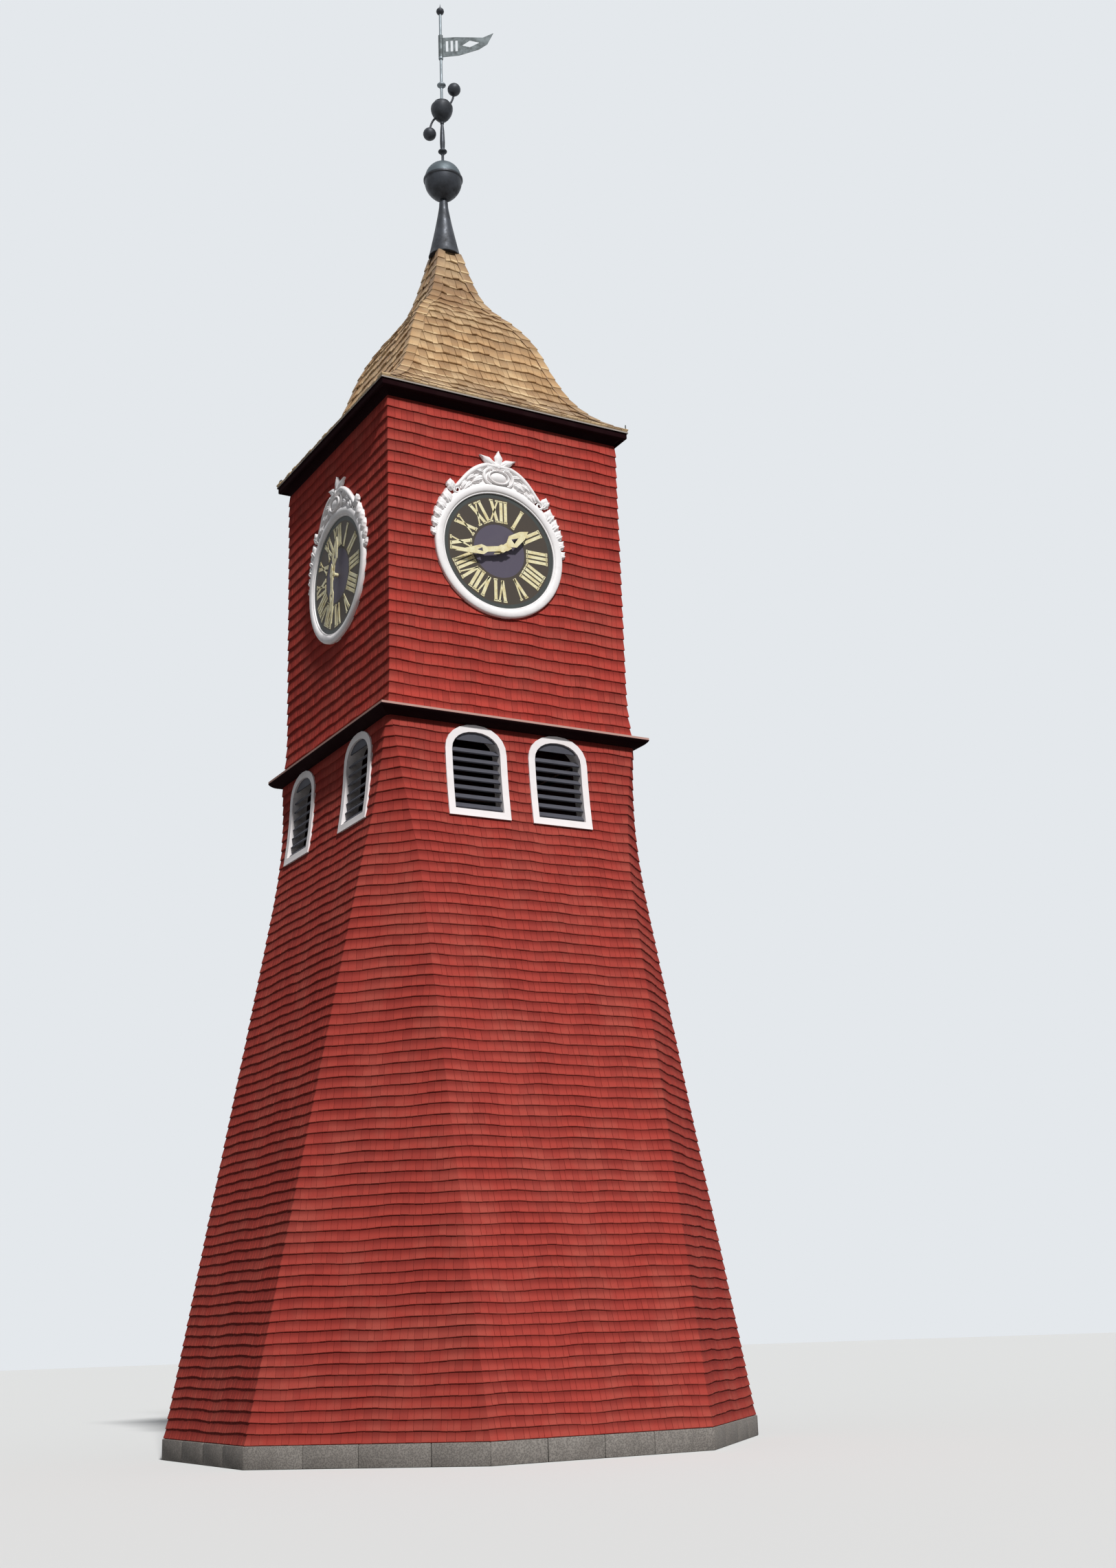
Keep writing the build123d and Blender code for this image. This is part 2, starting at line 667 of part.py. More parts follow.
def middle_ball():
    """The turnip-shaped ball on the rod, with two curved arms that end in small balls."""
    level = CONE_TOP + MIDDLE_BALL_RISE
    widest = MIDDLE_BALL_RADIUS
    piece = faceted([
        (1.5 * ROD_RADIUS, level - MIDDLE_BALL_POINT_DROP),
        (0.55 * widest, level - 0.8 * widest),
        (0.88 * widest, level - 0.25 * widest),
        (widest, level + 0.25 * widest),
        (0.93 * widest, level + 0.6 * widest),
        (MIDDLE_BALL_RIM_RADIUS, level + MIDDLE_BALL_RISE_OVER),
    ], BALL_SIDES)
    for way in (1, -1):
        root = Vector(way * MIDDLE_BALL_RIM_RADIUS / 2, 0, level + way * ARM_RISE / 4)
        ball = Vector(way * ARM_REACH, 0, level + way * ARM_RISE)
        path = TangentArc(root, ball, tangent=(way, 0, 0))
        piece += sweep(Plane(path @ 0, z_dir=path % 0) * RegularPolygon(ARM_RADIUS, 6), path)
        piece += Pos(ball.X, 0, 0) * faceted(ball_points(SMALL_BALL_RADIUS, ball.Z), SMALL_SIDES)
    return turned(piece, VANE_BEARING) - rod_bore(level - 2 * ARM_RISE, level + 2 * ARM_RISE)


def vane_outline():
    """The pennant's outline: straight along the top, then swept up to its tail."""
    return Polyline(
        (0, VANE_LOW),
        (0.35 * VANE_LENGTH, VANE_LOW + 0.05 * VANE_HEIGHT),
        (0.72 * VANE_LENGTH, VANE_LOW + 0.28 * VANE_HEIGHT),
        (0.88 * VANE_LENGTH, VANE_LOW + 0.5 * VANE_HEIGHT),
        (VANE_LENGTH, VANE_TOP),
        (0.8 * VANE_LENGTH, VANE_LOW + 0.82 * VANE_HEIGHT),
        (0.3 * VANE_LENGTH, VANE_LOW + 0.9 * VANE_HEIGHT),
        (0, VANE_LOW + 0.9 * VANE_HEIGHT),
        close=True,
    )


def vane_slots():
    """The pennant's piercings: three upright slots and a long pointed eye."""
    slots = []
    for share in (0.12, 0.21, 0.3):
        middle = (share * VANE_LENGTH, VANE_LOW + VANE_HEIGHT / 2)
        slots.append(Pos(*middle) * Rectangle(0.045 * VANE_LENGTH, 0.5 * VANE_HEIGHT))
    eye = Polyline(
        (0.4 * VANE_LENGTH, VANE_LOW + 0.5 * VANE_HEIGHT),
        (0.55 * VANE_LENGTH, VANE_LOW + 0.4 * VANE_HEIGHT),
        (0.74 * VANE_LENGTH, VANE_LOW + 0.6 * VANE_HEIGHT),
        (0.55 * VANE_LENGTH, VANE_LOW + 0.72 * VANE_HEIGHT),
        close=True,
    )
    slots.append(make_face(eye))
    return slots


def weather_vane():
    """The sheet pennant on its sleeve, which turns on the rod."""
    sleeve = prism(VANE_LOW, VANE_TOP, VANE_SLEEVE_RADIUS, SHAFT_SIDES)
    flat = make_face(vane_outline())
    for slot in vane_slots():
        flat -= slot
    sheet = extrude(Plane.XZ * flat, amount=VANE_SHEET / 2, both=True)
    bore = turning_bore(VANE_LOW - VANE_HEIGHT, VANE_TOP + VANE_HEIGHT, ROD_RADIUS)
    return turned(sheet + sleeve - bore, VANE_BEARING)


def top_ball():
    """The small ball and spike at the very top."""
    level = ROD_TOP + TOP_BALL_RADIUS
    shell = ball_points(TOP_BALL_RADIUS, level, start=-60, end=70)
    tip = level + TOP_BALL_RADIUS + TOP_SPIKE
    return faceted([(ROD_RADIUS, ROD_TOP)] + shell + [(SPIKE_TIP, tip)], SMALL_SIDES)


def save(name, shape):
    """One STEP file for a named piece."""
    shape = Compound(children=list(shape)) if isinstance(shape, (list, ShapeList)) else shape
    export_step(shape, f"parts/{name}.step")


def main():
    os.makedirs("parts", exist_ok=True)
    save("stone_footing", stone_footing())
    save("belfry_floor", belfry_floor())
    frames = []
    plates = []
    slope = roof_slope()
    corner = corner_wall()
    for side, angle in SIDES.items():
        hours, minutes = TIME_SHOWN[side]
        save(f"lower_wall_{side}", turned(lower_wall(side), angle))
        save(f"louvres_{side}", [turned(board, angle) for board in louvres(side)])
        save(f"clock_wall_{side}", turned(clock_wall(side), angle))
        save(f"dial_surround_{side}", turned(dial_surround(side), angle))
        save(f"hour_hand_{side}", turned(hour_hand(hours, minutes, side), angle))
        save(f"minute_hand_{side}", turned(minute_hand(minutes, side), angle))
        save(f"roof_slope_{side}", turned(slope, angle))
        plates.append(turned(dial_plate(side), angle))
        for offset in window_offsets(side):
            frames.append(turned(window_frame(offset), angle))
    for name, angle in CORNERS.items():
        save(f"corner_wall_{name}", turned(corner, angle))
    save("window_frames", frames)
    save("dial_plates", plates)
    save("string_course", string_course())
    save("eaves", eaves())
    save("spire_cone", spire_cone())
    save("large_ball", large_ball())
    save("vane_rod", vane_rod())
    save("middle_ball", middle_ball())
    save("weather_vane", weather_vane())
    save("top_ball", top_ball())


main()
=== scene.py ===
import json
import math
import random

import bmesh
import bpy
import numpy as np
from mathutils import Matrix, Vector
from mathutils.bvhtree import BVHTree
from mathutils.geometry import interpolate_bezier


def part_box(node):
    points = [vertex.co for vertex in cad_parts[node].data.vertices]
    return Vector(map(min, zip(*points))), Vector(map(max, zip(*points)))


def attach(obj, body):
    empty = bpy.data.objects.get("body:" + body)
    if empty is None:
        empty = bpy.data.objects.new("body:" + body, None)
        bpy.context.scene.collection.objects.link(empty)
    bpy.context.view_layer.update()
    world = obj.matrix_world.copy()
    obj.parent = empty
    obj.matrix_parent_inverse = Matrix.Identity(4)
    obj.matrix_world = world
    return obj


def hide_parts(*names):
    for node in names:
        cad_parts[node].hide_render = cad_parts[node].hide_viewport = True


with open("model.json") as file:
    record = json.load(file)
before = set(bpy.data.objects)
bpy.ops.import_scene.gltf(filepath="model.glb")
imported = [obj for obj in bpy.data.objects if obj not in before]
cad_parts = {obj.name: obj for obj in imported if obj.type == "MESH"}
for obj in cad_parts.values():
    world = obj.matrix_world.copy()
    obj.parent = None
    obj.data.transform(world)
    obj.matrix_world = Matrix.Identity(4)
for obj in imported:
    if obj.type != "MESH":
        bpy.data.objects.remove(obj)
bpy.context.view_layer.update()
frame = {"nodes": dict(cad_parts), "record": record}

bl_info = {
    "name": "Shingled Clock Tower",
    "version": (1, 0, 0),
    "blender": (4, 5, 0),
    "location": "3D View > Sidebar > Clock Tower",
    "description": "Dresses the frame of a shingled clock tower, piece by piece",
    "category": "Object",
}

# The frame: metres, +Z up, south is -Y, east is +X. Angles run from east, against the clock.
NODES = frame["nodes"]
SIDES = {"east": 0.0, "north": 90.0, "west": 180.0, "south": 270.0}
CORNERS = {"north_east": 45.0, "north_west": 135.0, "south_west": 225.0, "south_east": 315.0}
# Rays that feel for the walls start this far out
REACH = 12.0

# Windows, as the frame has them
WINDOW_SPACING = {"south": 1.48, "north": 1.48, "east": 2.34, "west": 2.34}
WINDOW_HALF = 0.425
WINDOW_HEAD_RISE = 0.33
CASING_WIDTH = 0.115

# Dials, measured from the wall's face and from the dial's centre
DIAL_RADIUS = 1.015
DIAL_FRONT = 0.03
RING_RADIUS = 1.18
RING_FRONT = 0.085

# Shingles: the least that is still laid, and how far the rows stay from the ends of a face
NARROWEST_ROW = 0.03
NARROWEST_SHINGLE = 0.012
SHORTEST_SHINGLE = 0.004
HEAD_THICKNESS = 0.006
FOOT_GAP = 0.004
WALL_GAP = 0.003
ROOF_START = 0.012

# The footing's blocks, and how far a mitre of the octagon runs along for each metre out
FOOTING_THICKNESS = 0.36
BLOCK_ROUNDING = 0.012
OCTAGON_MITRE = math.tan(math.pi / 8)

# The carved crest's half widths at its flat top and at its shoulder
CROWN_HALF = 0.24
SHOULDER_HALF = 0.785

# Numerals, each letter's width, the widest numeral, and how far numerals and their band stand out
NUMERALS = ("XII", "I", "II", "III", "IIII", "V", "VI", "VII", "VIII", "IX", "X", "XI")
LETTER_WIDTH = {"I": 0.082, "V": 0.17, "X": 0.18}
WIDEST_NUMERAL = 0.38
NUMERAL_RISE = 0.008
BAND_RISE = 0.002

# Heights on the spire, above the cone's top
SEAM_RISE = 0.45
MIDDLE_BALL_RISE = 1.94
PALE_ROD_RISE = 2.0

# Studio: the camera's place and its yaw, pitch and roll in degrees, and where the key light stands
CAMERA_PLACE = (-13.645, -27.361, 1.639)
CAMERA_TURN = (-29.826, 16.365, -1.966)
KEY_TOWARD = (-0.1, -0.67, 0.72)
FLOOR_RADIUS = 160.0


def linear(colour):
    """The linear colour of an sRGB hex value."""
    parts = [int(colour[place:place + 2], 16) / 255 for place in (1, 3, 5)]
    parts = [part / 12.92 if part <= 0.04045 else ((part + 0.055) / 1.055) ** 2.4 for part in parts]
    return (*parts, 1.0)


def add(tree, kind, inputs=None, **settings):
    """A shader node with its settings; each input is a value or another node's output."""
    node = tree.nodes.new("ShaderNode" + kind)
    for name, value in settings.items():
        setattr(node, name, value)
    for socket, value in (inputs or {}).items():
        if isinstance(value, bpy.types.NodeSocket):
            tree.links.new(value, node.inputs[socket])
        else:
            node.inputs[socket].default_value = value
    return node


def new_finish(name, roughness, metallic=0.0, shine=0.5):
    """A material with its shader and the Object coordinates that its pattern reads."""
    material = bpy.data.materials.new(name)
    material.use_nodes = True
    tree = material.node_tree
    tree.nodes.clear()
    coat = add(tree, "BsdfPrincipled", {"Roughness": roughness, "Metallic": metallic,
                                        "Specular IOR Level": shine})
    add(tree, "OutputMaterial", {"Surface": coat.outputs[0]})
    place = add(tree, "TexCoord").outputs["Object"]
    return material, tree, coat, place


def complete(finish, colour, height, strength, depth):
    """Gives a finish its colour and its relief, and returns the material."""
    material, tree, coat, _ = finish
    tree.links.new(colour, coat.inputs["Base Color"])
    bump = add(tree, "Bump", {"Strength": strength, "Distance": depth, "Height": height})
    tree.links.new(bump.outputs[0], coat.inputs["Normal"])
    return material


def shingle_finish(name, colours, strengths, zones, roughness, shine):
    """Split wood shingles: upright grain, a tone for each shingle, painted highlights and painted shade.

    The eye sees each shingle apart, patches where paint or wood has weathered, faint joints darkened by
    painted shade at the shingles' edges, a painted highlight in streaks along the butts, and a soft dark
    band of painted shade below each course line. zones: the heights between which another colour comes
    in, that colour and its share.
    """
    finish = new_finish(name, roughness, shine=shine)
    _, tree, _, place = finish
    lay = add(tree, "Attribute", attribute_name="lay", attribute_type="GEOMETRY")
    tone, across, rise = add(tree, "SeparateXYZ", {0: lay.outputs["Vector"]}).outputs
    height = add(tree, "SeparateXYZ", {0: place}).outputs[2]
    # Weather patches of about 0.7 m
    patch = add(tree, "TexNoise", {"Vector": place, "Scale": 1 / 0.7, "Detail": 3,
                                   "Roughness": 0.6}).outputs[0]
    # Grain 6 mm wide, drawn coarser than the real 2 mm so that it shows, and 0.25 m long
    shift = add(tree, "CombineXYZ", {2: tone}).outputs[0]
    moved = add(tree, "VectorMath", {0: place, 1: shift}, operation="ADD").outputs[0]
    grain = add(tree, "Mapping", {"Vector": moved, "Scale": (1 / 0.006, 1 / 0.006, 1 / 0.25)}).outputs[0]
    fibre = add(tree, "TexNoise", {"Vector": grain, "Scale": 1.0, "Detail": 2}).outputs[0]
    # How near a point is to either edge of its shingle, for painted shade along the joints
    aside = add(tree, "Math", {0: across, 1: 0.5}, operation="SUBTRACT").outputs[0]
    edge = add(tree, "Math", {0: aside}, operation="ABSOLUTE").outputs[0]
    # Painted highlight in streaks 0.5 m long along the butts, fading out by 0.4 of the way up each course
    along = add(tree, "Mapping", {"Vector": place, "Scale": (2, 2, 9)}).outputs[0]
    streak = add(tree, "TexNoise", {"Vector": along, "Scale": 1.0, "Detail": 2}).outputs[0]
    butt = add(tree, "MapRange", {0: rise, 1: 0.4, 2: 0.0}).outputs[0]
    painted_butt_highlight = add(tree, "Math", {0: streak, 1: butt}, operation="MULTIPLY").outputs[0]
    layers = [(height, *zone) for zone in zones] + [
        (patch, 0.42, 0.68, colours.worn, strengths["patch"]),
        (tone, 0.3, 1.0, colours.deep, strengths["tone"]),
        (fibre, 0.35, 0.75, colours.deep, strengths["grain"]),
        # Painted highlight along the butts
        (painted_butt_highlight, 0.3, 0.6, colours.worn, strengths["butt"]),
        # Painted shade along each shingle's joints
        (edge, 0.4, 0.5, colours.shadow, strengths["edge"]),
        # Painted shade: a soft dark band below each course line
        (rise, 0.25, 0.95, colours.shadow, strengths["lay"]),
    ]
    colour = colours.fresh
    for source, low, high, over, most in layers:
        amount = add(tree, "MapRange", {0: source, 1: low, 2: high, 4: most},
                     interpolation_type="SMOOTHSTEP").outputs[0]
        colour = add(tree, "Mix", {0: amount, 6: colour, 7: over}, data_type="RGBA").outputs[2]
    return complete(finish, colour, fibre, 0.5, 0.003)


def red_shingle(colours, stage):
    """Wood shingles brushed with red oxide paint: matt, with thin, paler wear, and the same paler colour
    as a painted highlight along the butts.
    """
    # Less bleached above the string course
    zones = [(stage, stage + 0.1, colours.stage, 0.8)]
    # butt: painted highlight along the butts; edge: painted shade along the joints; lay: painted shade
    # below each course line
    strengths = {"patch": 0.6, "tone": 0.4, "grain": 0.25, "butt": 0.3, "edge": 0.08, "lay": 0.6}
    return shingle_finish("red_shingle", colours, strengths, zones, roughness=0.9, shine=0.08)


def roof_shingle(colours, foot, neck):
    """Bare split shingles: golden where sun has bleached them, grey at the foot, brown at the neck."""
    zones = [(foot + 1.1, foot + 0.15, colours.foot, 0.85), (neck - 2.6, neck - 1.5, colours.neck, 0.7)]
    # butt: painted highlight along the butts; edge: painted shade along the joints; lay: painted shade
    # below each course line
    strengths = {"patch": 0.5, "tone": 0.6, "grain": 0.35, "butt": 1.0, "edge": 0.2, "lay": 0.4}
    return shingle_finish("roof_shingle", colours, strengths, zones, roughness=0.55, shine=0.4)


def boarding(name, light, dark, board):
    """Sawn boards, upright, with open joints between them: the eye sees dark lines and coarse grain."""
    finish = new_finish(name, 0.8, shine=0.3)
    _, tree, _, place = finish
    x, y, _ = add(tree, "SeparateXYZ", {0: place}).outputs
    both = add(tree, "Math", {0: x, 1: y}, operation="ADD").outputs[0]
    count = add(tree, "Math", {0: both, 1: board}, operation="PINGPONG").outputs[0]
    joint = add(tree, "MapRange", {0: count, 1: 0.0, 2: 0.006, 3: 1.0, 4: 0.0}).outputs[0]
    # Sawn grain about 5 mm wide and 0.4 m long
    stretched = add(tree, "Mapping", {"Vector": place, "Scale": (200, 200, 2.5)}).outputs[0]
    grain = add(tree, "TexNoise", {"Vector": stretched, "Scale": 1.0, "Detail": 3}).outputs[0]
    wood = add(tree, "Mix", {0: grain, 6: linear(light), 7: linear(dark)}, data_type="RGBA").outputs[2]
    colour = add(tree, "Mix", {0: joint, 6: wood, 7: linear("#120c0a")}, data_type="RGBA").outputs[2]
    return complete(finish, colour, grain, 0.3, 0.002)


def weathered(name, base, aged, patch, wear, marks, relief, roughness, gloss=None, metallic=0.0,
              shine=0.5, over=None):
    """A coat with aged patches and a relief of fine marks.

    patch: the patches' size, detail and roughness. wear: the patch values where ageing starts and is
    full, and its share. marks: scales along x, y and z, and detail. relief: strength and depth.
    gloss: two patch values and what they add to the roughness. over: a colour, the heights between
    which it comes in, and its share above them.
    """
    finish = new_finish(name, roughness, metallic, shine)
    _, tree, coat, place = finish
    size, detail, rough = patch
    cloud = add(tree, "TexNoise", {"Vector": place, "Scale": 1 / size, "Detail": detail,
                                   "Roughness": rough}).outputs[0]
    low, high, most = wear
    worn = add(tree, "MapRange", {0: cloud, 1: low, 2: high, 4: most}).outputs[0]
    colour = add(tree, "Mix", {0: worn, 6: base, 7: aged}, data_type="RGBA").outputs[2]
    if over:
        upper, low, high, most = over
        height = add(tree, "SeparateXYZ", {0: place}).outputs[2]
        above = add(tree, "MapRange", {0: height, 1: low, 2: high, 4: most}).outputs[0]
        colour = add(tree, "Mix", {0: above, 6: colour, 7: upper}, data_type="RGBA").outputs[2]
    if gloss:
        low, high, least, most = gloss
        dull = add(tree, "MapRange", {0: cloud, 1: low, 2: high, 3: roughness + least,
                                      4: roughness + most})
        tree.links.new(dull.outputs[0], coat.inputs["Roughness"])
    *scales, detail = marks
    drawn = add(tree, "Mapping", {"Vector": place, "Scale": scales}).outputs[0]
    height = add(tree, "TexNoise", {"Vector": drawn, "Scale": 1.0, "Detail": detail}).outputs[0]
    return complete(finish, colour, height, *relief)


def board_paint(name, below, above, level):
    """Planed and painted moulding: matt, chalky in patches of 0.4 m, another colour on its top edge."""
    # Brush streaks about 10 mm high and 0.3 m long
    return weathered(name, below, linear("#3a2a2a"), patch=(0.4, 4, 0.5), wear=(0.5, 0.85, 0.3),
                     marks=(3, 3, 90, 4), relief=(0.25, 0.001), roughness=0.85, shine=0.02,
                     over=(above, level, level + 0.001, 1.0))


def brushed_paint(name, base, aged, roughness, streak, patch_size, most):
    """Oil or enamel paint laid on by brush: fine streaks, a slight sheen and aged patches."""
    # Brush marks about 3 mm wide, drawn along the piece's height
    return weathered(name, base, aged, patch=(patch_size, 5, 0.65), wear=(0.48, 0.78, most),
                     marks=(330, 330, 330 / streak, 2), relief=(0.2, 0.0008), roughness=roughness,
                     gloss=(0, 1, -0.1, 0.12), shine=0.4)


def metal(name, base, dull, roughness, metallic, patch_size, pale=None, level=0.0):
    """Sheet metal left to the weather: dull patches over what is left of the shine.

    Above a level it may be paler, where another sheet or coat of it was used.
    """
    over = (pale, level, level + 0.004, 0.8) if pale else None
    # Dents of about 30 mm
    return weathered(name, base, dull, patch=(patch_size, 6, 0.7), wear=(0.4, 0.7, 1.0),
                     marks=(33, 33, 33, 3), relief=(0.25, 0.002), roughness=roughness,
                     gloss=(0.4, 0.7, -0.08, 0.2), metallic=metallic, over=over)


def granite():
    """Split granite: grey feldspar with dark mica grains, rough from the wedge."""
    finish = new_finish("granite", 0.85, shine=0.3)
    _, tree, _, place = finish
    # Crystals of about 8 mm, drawn as 20 mm so that they show, and clouds of 0.3 m
    crystals = add(tree, "TexVoronoi", {"Vector": place, "Scale": 50}).outputs["Distance"]
    cloud = add(tree, "TexNoise", {"Vector": place, "Scale": 3.3, "Detail": 6}).outputs[0]
    stone = add(tree, "Mix", {0: cloud, 6: linear("#9a948d"), 7: linear("#77706a")},
                data_type="RGBA").outputs[2]
    mica = add(tree, "MapRange", {0: crystals, 1: 0.25, 2: 0.75, 3: 0.6, 4: 0.0}).outputs[0]
    colour = add(tree, "Mix", {0: mica, 6: stone, 7: linear("#4c4845")}, data_type="RGBA").outputs[2]
    return complete(finish, colour, cloud, 0.6, 0.01)


def paint_node(name, material):
    """A CAD node keeps its mesh and takes a better finish."""
    mesh = NODES[name].data
    mesh.materials.clear()
    mesh.materials.append(material)


def make_piece(name, mesh, material, replaces=(), smooth=None):
    """A finished mesh as a piece that rides on the tower."""
    mesh.name = name
    mesh.materials.append(material)
    if smooth is not None:
        mesh.polygons.foreach_set("use_smooth", [True] * len(mesh.polygons))
        mesh.set_sharp_from_angle(angle=math.radians(smooth))
    piece = bpy.data.objects.new(name, mesh)
    bpy.context.scene.collection.objects.link(piece)
    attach(piece, "tower")
    if replaces:
        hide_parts(*replaces)


def mesh_of(bm, tidy=True):
    """The mesh of a bmesh, with doubles merged and faces pointing outwards."""
    if tidy:
        bmesh.ops.remove_doubles(bm, verts=bm.verts, dist=1e-5)
        bmesh.ops.recalc_face_normals(bm, faces=bm.faces)
    mesh = bpy.data.meshes.new("piece")
    bm.to_mesh(mesh)
    bm.free()
    return mesh


class Face:
    """A side that is shingled: its surface up the middle, by a running length, and its half width."""

    def __init__(self, angle, levels, distances, run, half_widths, mitre):
        self.angle = math.radians(angle)
        self.levels = levels
        self.distances = distances
        self.run = run
        self.half_widths = half_widths
        self.mitre = mitre
        across = np.gradient(distances, run)
        up = np.gradient(levels, run)
        size = np.hypot(across, up)
        self.normal_out = up / size
        self.normal_up = -across / size

    def half(self, run):
        return float(np.interp(run, self.run, self.half_widths))

    def run_at_half(self, half):
        """How far up a narrowing face has this half width."""
        return float(np.interp(-half, -self.half_widths, self.run))

    def turn(self, run, along):
        """The direction from the axis of a point on the face, for waves that run round corners."""
        return self.angle + math.atan2(along, float(np.interp(run, self.run, self.distances)))


def profile(nodes, angle, low, high, step=0.02):
    """Heights, and how far the nodes' outer face stands from the axis at them, up its middle."""
    trees = []
    for node in nodes:
        mesh = NODES[node].data
        corners = [vertex.co for vertex in mesh.vertices]
        trees.append(BVHTree.FromPolygons(corners, [face.vertices[:] for face in mesh.polygons]))
    out = Vector((math.cos(math.radians(angle)), math.sin(math.radians(angle)), 0))
    # A little off the middle, so that no ray runs along an edge of the mesh
    start = out * REACH + 0.007 * Vector((-out.y, out.x, 0))
    levels = np.linspace(low + 0.001, high - 0.001, int((high - low) / step))
    distances = []
    for level in levels:
        hits = [tree.ray_cast(start + Vector((0, 0, level)), -out)[0] for tree in trees]
        if not any(hits):
            raise RuntimeError(f"no face of {nodes} at height {level:.3f}")
        distances.append(max(hit.dot(out) for hit in hits if hit))
    return levels, np.array(distances)


class Opening:
    """A hole that shingles are cut round: straight sides below a spring line, an arc above it."""

    def __init__(self, middle, half, low, spring, rise, arched_foot=False):
        self.middle = middle
        self.half = half
        self.low = low
        self.spring = spring
        self.rise = rise
        self.arched_foot = arched_foot

    def bow(self, along):
        share = (along - self.middle) / self.half
        return self.rise * math.sqrt(max(0.0, 1 - share * share))

    def bottom(self, along):
        return self.spring - self.bow(along) if self.arched_foot else self.low

    def top(self, along):
        return self.spring + self.bow(along)

    def half_at(self, level):
        if level < self.spring and not self.arched_foot:
            return self.half if level > self.low else 0.0
        share = (level - self.spring) / self.rise
        return self.half * math.sqrt(max(0.0, 1 - share * share))

    def shuts(self, along, low, high):
        """Whether the whole height of a column lies in the hole."""
        inside = abs(along - self.middle) < self.half
        return inside and self.bottom(along) <= low and self.top(along) >= high


def shingle_template(settings, exposure):
    """One split shingle as (across, up, out) from 0 to 1, with its three worn front edges."""
    bm = bmesh.new()
    bmesh.ops.create_cube(bm, size=1.0)
    size = Vector((settings.width, exposure, settings.butt))
    bmesh.ops.scale(bm, verts=bm.verts, vec=size)
    worn = []
    for edge in bm.edges:
        middle = (edge.verts[0].co + edge.verts[1].co) / 2
        front = middle.z > 0.4 * size.z
        if front and (middle.y < -0.4 * size.y or abs(middle.x) > 0.4 * size.x):
            worn.append(edge)
    soften(bm, worn, offset=0.22 * size.z, segments=1)
    points = np.array([vertex.co[:] for vertex in bm.verts]) / np.array(size) + 0.5
    faces = [[vertex.index for vertex in face.verts] for face in bm.faces]
    bm.free()
    return points, faces


def spread(rng, count, least, most):
    """Joints from -1 to 1 between pieces of uneven width."""
    sums = np.cumsum([0.0] + [rng.uniform(least, most) for _ in range(count)])
    return 2 * sums / sums[-1] - 1


def cut_round(openings, edges, butts, heads):
    """Trims one shingle at the holes, and says whether anything of it is left."""
    for hole in openings:
        low, high = min(butts), max(heads)
        shut = [hole.shuts(along, low, high) for along in edges]
        if all(shut):
            return False
        if any(shut):
            way = 1 if shut[0] else -1
            edges[shut.index(True)] = hole.middle + way * hole.half_at((low + high) / 2)
            if edges[1] - edges[0] < NARROWEST_SHINGLE:
                return False
        for edge, along in enumerate(edges):
            if abs(along - hole.middle) >= hole.half:
                continue
            bottom, top = hole.bottom(along), hole.top(along)
            if butts[edge] < bottom < heads[edge]:
                heads[edge] = bottom
            elif bottom <= butts[edge] < top < heads[edge]:
                butts[edge] = top
            elif hole.shuts(along, *sorted((butts[edge], heads[edge]))):
                heads[edge] = butts[edge] + SHORTEST_SHINGLE
    return True


def lay_course(face, row, start, step, end, settings, rng, openings):
    """The shingles of one course, trimmed to the face's edges and its holes."""
    laid = []
    half_low, half_high = face.half(start), face.half(end)
    if half_low < NARROWEST_ROW:
        return laid
    count = max(1, round(2 * half_low / settings.width))
    joints = half_low * spread(rng, count, 0.7, 1.3)
    gap = 0.5 * settings.joint
    for number in range(count):
        first, last = number == 0, number == count - 1
        edges = [joints[number] + (0 if first else gap), joints[number + 1] - (0 if last else gap)]
        drop = rng.uniform(-settings.ragged, settings.ragged)
        butts = []
        for along in edges:
            turn = face.turn(start, along)
            sway = math.sin(13 * turn + 0.3 * row) + 0.6 * math.sin(29 * turn - 0.45 * row + 1.7)
            butts.append(start + drop + (settings.wave * sway if row else 0.0))
        heads = [end, end]
        if not cut_round(openings, edges, butts, heads):
            continue
        if min(abs(along) for along in edges) > half_high and not (first and last):
            # The face narrows past this shingle, so its head is cut along the face's edge
            tops = edges
            heads = [min(head, max(face.run_at_half(abs(along)), butt + SHORTEST_SHINGLE))
                     for head, along, butt in zip(heads, edges, butts)]
        else:
            tops = [-half_high if first else edges[0], half_high if last else edges[1]]
            tops = [max(-half_high, min(half_high, along)) for along in tops]
        thick = settings.butt * (1 + settings.uneven * rng.uniform(-1, 1))
        laid.append((*butts, *heads, *edges, *tops, face.mitre if first else 0.0,
                     face.mitre if last else 0.0, thick, HEAD_THICKNESS, 0.0, rng.random(), start, step))
    return laid


